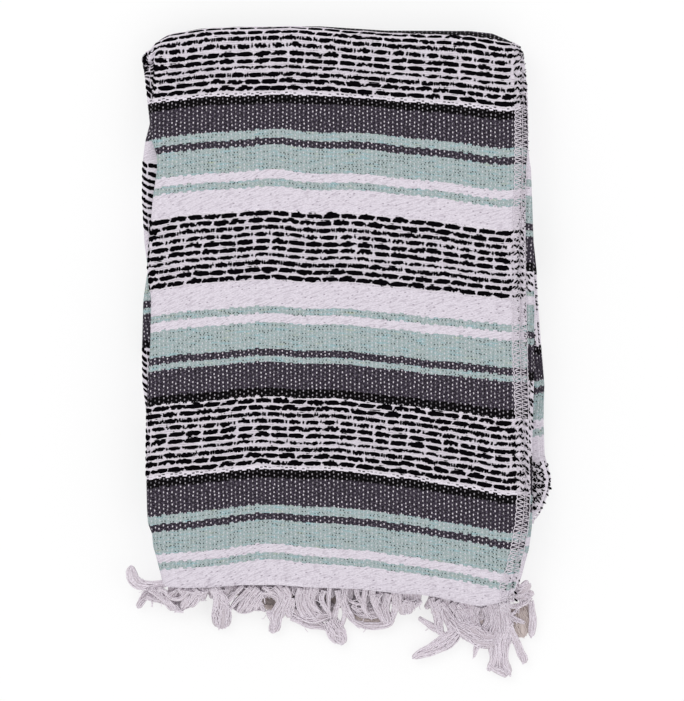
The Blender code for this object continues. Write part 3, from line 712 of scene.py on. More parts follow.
def tongue(tip, start, end, root, crowding=0.0):
    """The round edge of a layer as x and depth, going in at start and coming back at end."""
    gap = 0.12 + crowding
    radius = (end - start) / 2 - gap
    middle = (start + end) / 2
    turns = np.radians(np.linspace(-90, 90, 7))
    xs = [root] + list(tip - radius + radius * np.cos(turns)) + [root]
    ds = [start + gap] + list(middle + radius * np.sin(turns)) + [end - gap]
    return xs, ds


def layers_line(edge, last_depth):
    """The section of all hidden layers, from the front's underside round the right to the left."""
    root = min(edge["second"], edge["loop"], edge["third"]) - 9.0
    xs = list(np.linspace(edge["left"] + 18.0, root - 6.0, 20))
    ds, side = [LAYER + 0.2] * 20, [0] * 20
    tongues = [
        (edge["second"], LAYER + 0.1, 2 * LAYER, 1),
        (edge["loop"], 2 * LAYER, 4 * LAYER, 2),
        (edge["third"] - THIRD_FIRST_INSET, 4 * LAYER, 6 * LAYER, 2),
        (edge["third"], 6 * LAYER, 7 * LAYER, 2),
        (edge["third"] - THIRD_LAST_INSET, 7 * LAYER, last_depth, 2),
    ]
    for tip, start, end, shift in tongues:
        x, depth = tongue(tip, start, end, root)
        xs += x
        ds += depth
        side += [shift] * len(x)
    left = edge["middle_left"]
    xs += list(np.linspace(root - 6.0, left + 30.0, 16))
    ds += [last_depth] * 16
    side += [2] * 8 + [3] * 8
    turns = np.radians(np.linspace(80, -80, 13))
    radius = STRIP / 2 - 0.25
    xs += list(left + radius - radius * np.cos(turns))
    ds += list(1.5 * STRIP + radius * np.sin(turns))
    side += [3] * len(turns)
    xs += [left + 30.0]
    ds += [STRIP + 0.3]
    side += [3]
    return np.array(xs), np.array(ds), np.array(side)


def layer_shifts(station):
    """How far the stripes of the hidden layers are moved at a station, for each side of the section."""
    on_left, on_right = station.travelled(SIDE_X), station.travelled(RIGHT_LAYERS_X)
    left = 0.0 if LEFT_SHIFTS_BELOW_S < on_left < LEFT_MATCHES_TO_S else LEFT_LAYERS_SHIFT
    right = RIGHT_UPPER_SHIFT if on_right > RIGHT_SHIFT_CHANGES_AT_S else RIGHT_LOWER_SHIFT
    return np.array([0.0, 0.0, right + (RIGHT_UNDER_SHIFT - right) * station.share, left])


def layered_edges(material):
    """Everything folded under the outer cloth, with the edge of each layer on both sides."""
    cloth = Faces()
    rows, places = [], []
    shifts = None
    for station in stations():
        x, depth, side = layers_line(station.edge, HALF_STACK - 0.15)
        steps = np.cumsum(np.hypot(np.diff(x, prepend=x[0]), np.diff(depth, prepend=depth[0])))
        points = station.on(x, station.at, np.minimum(depth, station.deepest))
        travelled = station.travelled(x)
        before, shifts = shifts, layer_shifts(station)
        if before is not None and np.abs(shifts - before).max() > SHIFT_JUMP:
            rows.append(rows[-1] * 0.02 + points * 0.98)
            places.append(np.stack([steps, travelled + before[side]], -1))
        rows.append(points)
        places.append(np.stack([steps, travelled + shifts[side]], -1))
    cloth.grid(np.array(rows), np.array(places))
    return cloth.piece("hidden_layers_cloth", material)


def hem_layers(material):
    """The ends of the layers under the front at the hem, each with a rounded edge."""
    cloth = Faces()
    edge = mixed_edges(HEM_Y, 0.0)
    rights = [edge["second"], edge["loop"], edge["loop"] - 1] + [edge["third"] - 1.5] * 4
    for layer, right in enumerate(rights, 1):
        left = edge["left"] + 3.5 if layer < 4 else edge["middle_left"] + 1.5
        x = np.linspace(left, right - 0.5, 110)
        start, end = layer * LAYER + 0.15, (layer + 1) * LAYER - 0.15
        ragged = 0.7 * np.sin(x / 7.3 + layer * 1.9) + 0.5 * np.sin(x / 3.1 + layer)
        back = 1.0 + 0.5 * (layer % 3) + ragged
        rows, places = [], []
        middle, radius = (start + end) / 2, (end - start) / 2
        outline = [(28.0, start), (10.0, start), (3.0, start), (0.7, middle - radius * 0.6), (0.0, middle)]
        outline += [(0.7, middle + radius * 0.6), (3.0, end), (10.0, end), (28.0, end)]
        for run, depth in outline:
            y = HEM_Y + run
            points = on_top(x, y, np.full_like(x, depth))
            points[:, 1] += back
            rows.append(points)
            places.append(np.stack([x, stripe_on_top(x, y + bend(x, y))], -1))
        cloth.grid(np.array(rows), np.array(places))
    return cloth.piece("hem_layers_cloth", material)


def path_length():
    """How far the cloth goes, from the hem to the end of the loop, in the middle of its width."""
    centre = float(fold_centre(0.0))
    return stripe_on_top(0.0, centre) + np.pi * (fold_arc(0.0) + LOOP_RADIUS) + centre - LOOP_Y


def band_rows(from_s, to_s):
    """Each row of floats that lies between two distances along the cloth, with its own s."""
    found = []
    for repeat in range(-2, 5):
        for start, pitch in zip(BAND_STARTS, ROW_PITCHES):
            for i, row in enumerate(FLOAT_ROWS):
                s = repeat * REPEAT + start + i * pitch
                if from_s < s < to_s:
                    found.append((s, row))
    return found


# A float's shape along its length, from blunt end to blunt end
FLOAT_SHARE = np.concatenate([[-1, -1], np.linspace(-0.96, 0.96, 9), [1, 1]])
FLOAT_SHAPE = np.concatenate([[0, 0.66, 0.92], np.ones(7), [0.92, 0.66, 0]])
FLOAT_TURN = np.linspace(0, 2 * np.pi, 6, endpoint=False)


def floats(name, from_s, to_s, material):
    """The black yarns that float over the white ground in the two patterned bands."""
    yarn = Faces()
    for s, row in band_rows(from_s, to_s):
        first = FLOATS_START_X + row.phase * FLOAT_PITCH - FLOATS_LEFT_OF_START * FLOAT_PITCH
        for j in range(FLOATS_IN_ROW):
            middle = first + j * FLOAT_PITCH + rng.normal(0, 0.35)
            left, right, flat = limits(middle, s)
            half = row.length / 2 * (1 + rng.normal(0, 0.05))
            reach = -0.5 if 0.0 < flat < 0.2 else 9.0
            low, high = max(middle - half, left - reach), min(middle + half, right - FLOATS_END_INSET)
            if high - low > 3.0:
                thick = row.thickness * (0.52 if s < LOWER_BANDS_TO_S else 0.5)
                woven_float(yarn, (low + high) / 2, s, (high - low) / 2, thick, flat)
            for tick in range(row.ticks):
                at = middle + FLOAT_PITCH / 2 + (tick - (row.ticks - 1) / 2) * 1.9
                if left < at < right - 3:
                    woven_float(yarn, at, s + rng.normal(0, 0.3), 0.8, row.thickness * 0.4, flat)
    return yarn.piece(name, material)


def edges_at(x, s):
    """The edges of the layers at s, and how far the cloth lies pressed flat there, from 0 to 1."""
    fold_s = fold_start_s(x)
    if s < fold_s:
        return mixed_edges(front_y(x, s), 0.0), 0.0
    angle = (s - fold_s) / fold_arc(x)
    if angle < np.pi:
        return fold_edges(angle), eased(angle / np.pi)
    return mixed_edges(max(under_y_at(x, s), LOOP_Y - LOOP_RADIUS), 1.0), 1.0


def limits(x, s):
    edge, flat = edges_at(x, s)
    return edge["left"], edge["front"], flat


def woven_float(yarn, middle, s, half, thick, flat):
    count = len(FLOAT_SHARE)
    tilt = rng.normal(0, 0.035)
    arch = rng.normal(0.3, 0.45)
    slant = rng.normal(0.3, 0.5)
    edges = []
    for _ in range(2):
        power = rng.uniform(1.0, 2.4)
        taper = 1 - rng.uniform(0, 0.62, 2)[(FLOAT_SHARE > 0).astype(int)] * np.abs(FLOAT_SHARE) ** power
        notch = np.where(rng.random(count) < 0.16, rng.uniform(0.35, 0.75), 0.0)
        rough = rng.normal(0.05, 0.15, count) - notch
        edges.append((thick * (1 + rough) * FLOAT_SHAPE * taper)[:, None])
    upper, lower = edges
    share = FLOAT_SHARE[:, None]
    side = np.cos(FLOAT_TURN)
    slanted = slant * side * np.abs(share) * min(half / 5, 1)
    xs = middle + half * share + rng.normal(0, 0.15, (count, 1)) + slanted
    ss = s + tilt * half * share + arch * (1 - share**2) + side * np.where(side > 0, upper, lower)
    height = ((0.95 - 0.35 * flat) * FLOAT_SHAPE)[:, None]
    depth = -(height * (0.35 + np.sin(FLOAT_TURN) * 0.75)) + 0.75 * flat
    points = on_cloth(xs, ss, depth)
    points[..., 2] = np.maximum(points[..., 2], 0.05)
    yarn.grid(points, np.stack([xs, ss], -1), around=True)


def weft_strands(material):
    """The white weft between the rows of floats, two strands to a gap, that part round each float."""
    yarn = Faces()
    rows = band_rows(0, path_length() - 4)
    x = np.arange(-172.0, 176.0, 3.7)
    for number, (s, row) in enumerate(rows):
        pitch = min((abs(other - s) for other, _ in rows if other != s), default=6.0)
        phase = 2 * np.pi * (x - FLOATS_START_X - row.phase * FLOAT_PITCH) / FLOAT_PITCH
        opened = 0.5 + 0.5 * np.cos(phase)
        left, _, turned = limits(-163.0, s)
        _, right, flat = limits(0.0, s)
        reach = -1.0 if 0.0 < turned < 0.9 else 8.0
        for way in (-1, 1):
            offset = pitch * 0.5 - 0.85 + 0.45 * opened + 0.25 * np.sin(x / 11.0 + number + way)
            offset = offset + rng.normal(0, 0.08, len(x))
            keep = (x > left - reach) & (x < right - 5.0)
            depth = np.where(flat > 0.5, 0.45, -0.18) - 0.22 * np.sin(x / 5.1 + number)
            path = on_cloth(x, s + way * offset, depth)[keep]
            path[:, 2] = np.maximum(path[:, 2], 0.6)
            yarn.tube(path, 0.62, 4, (x[0], s))
    return yarn.piece("white_weft_strands", material)


def side_floats(material):
    """Floats that slant over the folds of the inner layers, where those show on the left."""
    yarn = Faces()
    radius = STRIP / 2 - 0.1
    rows = [(s - LEFT_LAYERS_SHIFT, row) for s, row in band_rows(LEFT_LAYERS_SHIFT, path_length() - 80)]
    rows = [(s, row) for s, row in rows if not LEFT_SHIFTS_BELOW_S < s < LEFT_MATCHES_TO_S]
    rows += band_rows(LEFT_SHIFTS_BELOW_S, LEFT_MATCHES_TO_S)
    for s, row in rows:
        edge, _ = edges_at(SIDE_X, s)
        left, edge = edge["left"], edge["middle_left"]
        if s < 8 or edge > left - 0.8:
            continue
        shown = left - edge
        for start, long, slope in (
            (-1.5 - radius, 5.6 + rng.normal(0, 0.6), 0.75),
            (rng.uniform(-1.6, -0.4), shown - 0.5, rng.uniform(0.2, 0.6)),
        ):
            if long < 2.0:
                continue
            path = start + long / 2 * (1 + FLOAT_SHARE[:, None]) + 0 * FLOAT_TURN
            thick = row.thickness * (0.36 if s < LEFT_SHIFTS_BELOW_S else 0.47)
            thick = thick * (1 + rng.normal(0, 0.16, len(FLOAT_SHARE))) * FLOAT_SHAPE
            lift = (0.3 + 0.55 * np.sin(FLOAT_TURN)) * FLOAT_SHAPE[:, None]
            turn = np.pi / 2 + np.clip(path / radius, -2.2, 0.0)
            xs = edge + radius - (radius + lift) * np.cos(turn) + np.clip(path, 0.0, None)
            ss = s + np.cos(FLOAT_TURN) * thick[:, None] + rng.normal(0, 0.3) - slope * (path + 2.0)
            points = on_cloth(xs, ss, 1.5 * STRIP - (radius + lift) * np.sin(turn), round_left=False)
            yarn.grid(points, np.stack([xs, ss], -1), around=True)
    return yarn.piece("side_floats", material)


BIT_SHAPE = np.array([0.15, 0.85, 1.0, 0.9, 0.15])
BIT_STEPS = np.linspace(-0.5, 0.5, 5)


def bit(yarn, place, x, y, long, thick, slope):
    """A short slanting piece of yarn on a layer, where place gives points from x and y."""
    run = BIT_STEPS * long
    path = place(x + run / math.hypot(1, slope), y + run * slope / math.hypot(1, slope))
    path[:, 2] = np.maximum(path[:, 2], 0.6)
    yarn.tube(path, thick * BIT_SHAPE * (1 + rng.normal(0, 0.15, 5)), 5, (x, y))


def top_layer(depth):
    return lambda x, s: on_cloth(x, s, np.full_like(x, depth - 0.3), round_left=False)


def under_layer(x, y):
    """The lower layers, which step down towards their right edge."""
    edge = EDGE["lower"](y[0])
    shelf = np.where(x < edge - 5.2, HALF_STACK + 0.1, 6 * LAYER + 0.1)
    return on_underside(x, y, np.where(x > edge - 2.8, 4 * LAYER + 0.2, shelf))


def upper_bits(yarn):
    for run in BIT_RUNS:
        for s, _ in band_rows(run.from_s + run.shift, run.to_s + run.shift):
            s = s - run.shift
            edge = edges_at(BITS_X, s)[0]
            if edge[run.outer] - edge[run.inner] < 3.0 and rng.random() < 0.6:
                continue
            for x in np.arange(edge[run.inner] + 0.5, edge[run.outer] - 0.6, 2.6):
                where = x + about(0.5), s + about(1.5)
                bit(yarn, top_layer(run.depth), *where, rng.uniform(2.8, 4.8), 0.95, rng.uniform(-2.2, -0.7))


def lower_bits(yarn):
    shift = RIGHT_UNDER_SHIFT
    for s, _ in band_rows(LOWER_BITS_FROM_S + shift, path_length() + 30.0 + shift):
        y = under_y_at(LOWER_LAYERS_X, s - shift)
        if y < LOOP_Y or y > LOWER_BITS_BELOW_Y:
            continue
        low = max(EDGE["third"](y), EDGE["loop"](y)) - 3.0
        for x in np.arange(low, EDGE["lower"](y) - 0.8, 2.3):
            for _ in range(3 if y < DENSE_BITS_BELOW_Y else 2):
                where = x + about(1.0), y + about(2.8)
                bit(yarn, under_layer, *where, rng.uniform(1.8, 4.2), 0.75, rng.uniform(-2.0, 0.8))


def overlock_bits(yarn):
    """Slanting ends of the floats in the overlock, then its dark specks."""
    for s, _ in band_rows(BITS_FROM_S, BITS_TO_S):
        edge = limits(FRONT_SELVEDGE_X, s)[1]
        for inset in (5.4, 2.6, 0.6):
            where = edge - inset + about(0.5), s + about(1.2)
            slope = rng.uniform(0.6, 1.8) * rng.choice([-1.0, 1.0, 1.0])
            bit(yarn, top_layer(-0.1), *where, rng.uniform(2.6, 5.0), rng.uniform(0.7, 1.15), slope)
    for s in np.arange(SPECKS_FROM_S, SPECKS_TO_S, SPECKS_STEP):
        edge = edges_at(SPECKS_X, s)[0]
        for name, depth in (("front", 0.3), ("second", LAYER)):
            if rng.random() < (0.45 if s < DENSE_SPECKS_FROM_S else 0.75):
                x = edge[name] - rng.uniform(0.0, 1.6)
                slope = about(3.0)
                bit(yarn, top_layer(depth - 0.2), x, s, rng.uniform(1.2, 2.4), rng.uniform(0.35, 0.5), slope)


def edge_bits(material):
    """Black yarn on the layers that peek out at the right, where they are patterned."""
    yarn = Faces()
    upper_bits(yarn)
    lower_bits(yarn)
    overlock_bits(yarn)
    for x, y, long, slope in KNOTS:
        for _ in range(3):
            where = x + about(0.6), y + about(0.6)
            bit(yarn, under_layer, *where, long, 1.0, slope + about(0.4))
    return yarn.piece("edge_yarn_bits", material)


def overlock(thread, outer_x, from_s, to_s, depth, width=6.0, pitch=3.5):
    """A zigzag of thread over an edge, with a chain of stitches along its inner side."""
    count = int((to_s - from_s) / pitch * 2)
    order = np.arange(count)
    s = from_s + order * pitch / 2 + rng.normal(0, 0.3, count)
    out = np.array([float(outer_x(each)) for each in s])
    at_edge = order % 2 == 0
    x = np.where(at_edge, out + 0.1, out - width) + rng.normal(0, 0.4, count)
    fine = np.arange(0, count - 1, 0.25)
    deep = depth + np.where(np.interp(fine, order, s) > 520, 0.6, 0.0)

    def along_line(values):
        return np.interp(fine, order, values)

    path = on_cloth(along_line(x), along_line(s), deep - 0.3, round_left=False)
    thread.tube(path, 0.42, sides=4)
    wobble = 0.45 * np.sin(fine * 3.1) + 0.3 * np.sin(fine * 0.9)
    path = on_cloth(along_line(out) - width + wobble, along_line(s), deep - 0.35, round_left=False)
    thread.tube(path, 0.4, sides=4)
    path = on_cloth(along_line(out) + 0.25 - 0.5 * wobble, along_line(s), deep + 0.9, round_left=False)
    thread.tube(path, 0.38, sides=4)


def stitches(material):
    """The overlock on the front's selvedge and on those of the layers that peek out under it."""
    thread = Faces()
    end = path_length()
    overlock(thread, lambda s: limits(FRONT_SELVEDGE_X, max(s, 0.0))[1], 0.0, end + 6, 0.0)

    overlock(thread, lambda s: EDGE["second"](front_y(SECOND_SELVEDGE_X, s)), 6.0, 452.0, 3.4, width=7.0)
    return thread.piece("selvedge_stitches", material)


def smooth_line(points, at):
    """A smooth line through rows of numbers, at shares of the way from 0 to 1."""
    points = np.asarray(points, float)
    padded = np.vstack([2 * points[0] - points[1], points, 2 * points[-1] - points[-2]])
    at = np.clip(at, 0, 1) * (len(points) - 1.0001)
    first = at.astype(int)
    t = (at - first)[:, None]
    a, b, c, d = (padded[first + k] for k in range(4))
    bent = (2 * a - 5 * b + 4 * c - d) * t**2 + (3 * b - a - 3 * c + d) * t**3
    return 0.5 * (2 * b + (c - a) * t + bent)


def rest_height(y, root_z):
    """How high a lock's middle lies at y, as it falls from the hem to the surface."""
    fallen = np.clip((FRINGE_Y - y) / FRINGE_FALL, 0, 1)
    return FRINGE_REST_Z + (root_z - FRINGE_REST_Z) * (1 - fallen) ** 1.5


def wave(share, slowest, fastest):
    """A wave along a yarn, of random length and phase."""
    return np.sin(rng.uniform(slowest, fastest) * share + rng.uniform(0, 6))


def lock_frame(lock, at):
    """The middle line, the side direction, half the width and the height of a lock."""
    line = smooth_line(lock.line, at)
    ahead = smooth_line(lock.line, at + 0.01)[:, :2] - smooth_line(lock.line, at - 0.01)[:, :2]
    ahead /= np.linalg.norm(ahead, axis=1, keepdims=True) + 1e-9
    side = np.stack([-ahead[:, 1], ahead[:, 0]], -1)
    z = rest_height(line[:, 1], max(lock.root_z, FRINGE_REST_Z))
    if lock.group != "front":
        z = z * 0 + (BACK_LOCKS_Z if lock.group == "back" else lock.root_z * 0.6)
    return line[:, :2], side, line[:, 2] / 2, z


def fringe(name, group, material):
    """Loose yarns, gathered in locks that cross and cling together."""
    yarn = Faces()
    share = np.linspace(0, 1, LOCK_STEPS)
    for lock in (each for each in LOCKS if each.group == group):
        count = round(lock.yarns * 1.55)
        for j in range(count):
            start = (j + 0.5) / count * 2 - 1
            end = np.clip(start + rng.normal(0, 0.6), -1, 1)
            at = share * (1 - 0.2 * end**4 - rng.uniform(0, 0.07))
            middle, side, half, z = lock_frame(lock, at)
            lane = start + (end - start) * eased(share * 1.25 - rng.uniform(0, 0.25))
            lane = lane + 0.13 * wave(share, 2, 6)
            lane = lane + 0.11 * wave(share, 11, 24) * (share > 0.1)
            lane = np.clip(lane * (1 - 0.25 * share**6), -1, 1)
            radius = YARN_RADIUS * rng.uniform(0.75, 1.2)
            spread = (np.maximum(half - radius, 0.2) * lane)[:, None]
            plan = middle + side * spread
            lift = np.sqrt(1 - 0.96 * lane**2) * half * 0.35
            z = z + lift + about(0.8) + 0.5 * wave(share, 3, 8)
            path = np.concatenate([plan, np.maximum(z, radius + 0.3)[:, None]], 1)
            yarn.tube(path, radius * (1 - 0.6 * share**10), 4, (path[0, 0], j * 7.0))
    return yarn.piece(name, material)


def strays(material):
    """Single yarns that have come loose and lie across the locks."""
    yarn = Faces()
    steps = np.linspace(0, 1, 11)
    fronts = [lock for lock in LOCKS if lock.group == "front" and lock.yarns > 3]
    for number in range(STRAYS):
        lock = fronts[number % len(fronts)]
        start = rng.uniform(0.02, 0.4)
        middle, side, half, _ = lock_frame(lock, np.array([start, start + 0.12]))
        ahead = middle[1] - middle[0]
        heading = math.atan2(ahead[1], ahead[0]) + rng.choice([-1, 1]) * rng.uniform(0.2, 1.1)
        long = rng.uniform(4.5, 9.0)
        curl = about(1.6)
        angle = heading + curl * steps + 0.35 * wave(steps, 5, 12)
        moved = np.cumsum(np.stack([np.cos(angle), np.sin(angle)], -1), 0) * long / len(steps)
        plan = middle[0] + side[0] * half[0] * about(0.6) + moved
        plan[:, 1] = np.maximum(plan[:, 1], FRINGE_LOWEST_Y)
        height = rest_height(plan[:, 1], max(lock.root_z, 12))
        height = height + half[0] * 0.35 + 0.9 + 0.5 * wave(steps, 3, 8)
        radius = rng.uniform(0.3, 0.5)
        path = np.concatenate([plan, height[:, None]], 1)
        yarn.tube(path, radius * (1 - 0.5 * steps**8), 4, (path[0, 0], number * 3.0))
    return yarn.piece("fringe_stray_yarns", material)


def root_locks():
    """Short locks that fill the fringe close to the hem."""
    made = []
    for x in np.arange(-146.0, 146.0, 4.2):
        if ROOT_GAP[0] < x < ROOT_GAP[1]:
            continue
        hem = along(HEM_EDGE, x)
        lean, fall = about(6.0), rng.uniform(9.0, 15.0)
        line = [(x, hem + 4.0, 5.5), (x + lean * 0.3, hem - fall * 0.35, 6.5)]
        line += [(x + lean * 0.8, hem - fall * 0.75, 6.0), (x + lean * 1.2, hem - fall, 4.5)]
        made.append(Lock("front", 3, rng.uniform(22.0, 27.0), line))
    return made


def lock_cores(name, groups, material):
    """What shows between a lock's yarns: the yarns deeper in it, as one soft body, in the darker material it
    is given as painted shade.
    """
    core = Faces()
    share = np.linspace(0, 1, 14)
    turn = np.linspace(0, 2 * np.pi, 8, endpoint=False)
    closing = np.sqrt(np.clip(1 - np.abs(2 * share - 1) ** 7, 0.0004, 1))
    for lock in (each for each in LOCKS if each.group in groups):
        middle, side, half, z = lock_frame(lock, share * 0.97)
        wide = (half * 0.95 * closing)[:, None]
        high = ((half * 0.28 + 0.5) * closing)[:, None]
        plan = middle[:, None] + side[:, None] * (wide * np.cos(turn))[..., None]
        height = z[:, None] - 0.2 + high * np.sin(turn)
        height = np.maximum(height, 0.4)
        core.grid(np.concatenate([plan, height[..., None]], -1), np.array((0.0, 0.0)), around=True)
    return core.piece(name, material)


# Materials

class Value:
    """A node's output that sums can be written with."""

    def __init__(self, nodes, socket):
        self.nodes, self.socket = nodes, socket

    def __add__(self, other):
        return self.nodes.math("ADD", self, other)

    def __sub__(self, other):
        return self.nodes.math("SUBTRACT", self, other)

    def __rsub__(self, other):
        return self.nodes.math("SUBTRACT", other, self)

    def __mul__(self, other):
        return self.nodes.math("MULTIPLY", self, other)

    def __truediv__(self, other):
        return self.nodes.math("DIVIDE", self, other)

    def __pow__(self, other):
        return self.nodes.math("POWER", self, other)

    def __abs__(self):
        return self.nodes.math("ABSOLUTE", self)


class Nodes:
    """Shorthand for a material's nodes."""

    def __init__(self, name, roughness, specular=0.2):
        self.material = bpy.data.materials.new(name)
        self.material.use_nodes = True
        self.tree = self.material.node_tree
        self.shader = self.tree.nodes["Principled BSDF"]
        self.shader.inputs["Roughness"].default_value = roughness
        self.shader.inputs["Specular IOR Level"].default_value = specular

    def put(self, value, socket):
        """Link a value to a socket, or set the socket to a number or a colour."""
        if isinstance(value, Value):
            self.tree.links.new(value.socket, socket)
        elif value is not None:
            socket.default_value = (*value, 1.0) if isinstance(value, tuple) else value

    def node(self, kind, *values, output=0, **settings):
        made = self.tree.nodes.new("ShaderNode" + kind)
        for name, setting in settings.items():
            setattr(made, name, setting)
        for socket, value in zip(made.inputs, values):
            self.put(value, socket)
        return Value(self, made.outputs[output])

    def math(self, operation, *values):
        return self.node("Math", *values, operation=operation)

    def fract(self, value):
        return self.math("FRACT", value)

    def floor(self, value):
        return self.math("FLOOR", value)

    def oval(self, x, y, half_width, half_height):
        """1 on an oval's outline, and less inside it."""
        return (x / half_width) ** 2.0 + (y / half_height) ** 2.0

    def vector(self, x, y, z=0.0):
        return self.node("CombineXYZ", x, y, z)

    def split(self, vector):
        parts = self.node("SeparateXYZ", vector).socket.node.outputs
        return [Value(self, part) for part in parts]

    def noise(self, vector, scale, detail=2.0, rough=0.55):
        return self.node("TexNoise", vector, None, scale, detail, rough, output="Fac")

    def random(self, vector):
        return self.split(self.node("TexWhiteNoise", vector, output="Color"))

    def ramp(self, factor, stops, constant=False):
        """Colours by factor, from stops that are each a place and a colour or a grey."""
        made = self.node("ValToRGB", factor)
        ramp = made.socket.node.color_ramp
        ramp.interpolation = "CONSTANT" if constant else "LINEAR"
        for place, _ in stops[2:]:
            ramp.elements.new(place)
        for element, (place, colour) in zip(ramp.elements, stops):
            element.position = place
            element.color = (*colour, 1.0) if isinstance(colour, tuple) else (colour, colour, colour, 1.0)
        return made

    def smooth(self, value, low, high, to_low=0.0, to_high=1.0):
        return self.node("MapRange", value, low, high, to_low, to_high, interpolation_type="SMOOTHSTEP")

    def mix(self, factor, first, second, blend="MIX"):
        made = self.node("Mix", data_type="RGBA", blend_type=blend).socket.node
        sockets = {socket.identifier: socket for socket in (*made.inputs, *made.outputs)}
        self.put(factor, sockets["Factor_Float"])
        self.put(first, sockets["A_Color"])
        self.put(second, sockets["B_Color"])
        return Value(self, sockets["Result_Color"])

    def multiply(self, first, second):
        return self.mix(1.0, first, second, "MULTIPLY")

    def finish(self, colour, height, distance, strength):
        """The shader's colour and bump."""
        self.put(colour, self.shader.inputs["Base Color"])
        bump = self.node("Bump")
        inputs = bump.socket.node.inputs
        inputs["Distance"].default_value = distance
        inputs["Strength"].default_value = strength
        self.put(height, inputs["Height"])
        self.put(bump, self.shader.inputs["Normal"])
        return self.material

    def cloth_place(self):
        """Distances across and along the cloth, in millimetres."""
        across, along_cloth, _ = self.split(self.node("UVMap", uv_map="cloth"))
        return across * 100.0, along_cloth * 100.0


def stripe_stops(name):
    return [(start / REPEAT, getattr(YARNS[yarn], name)) for start, yarn in STRIPES]


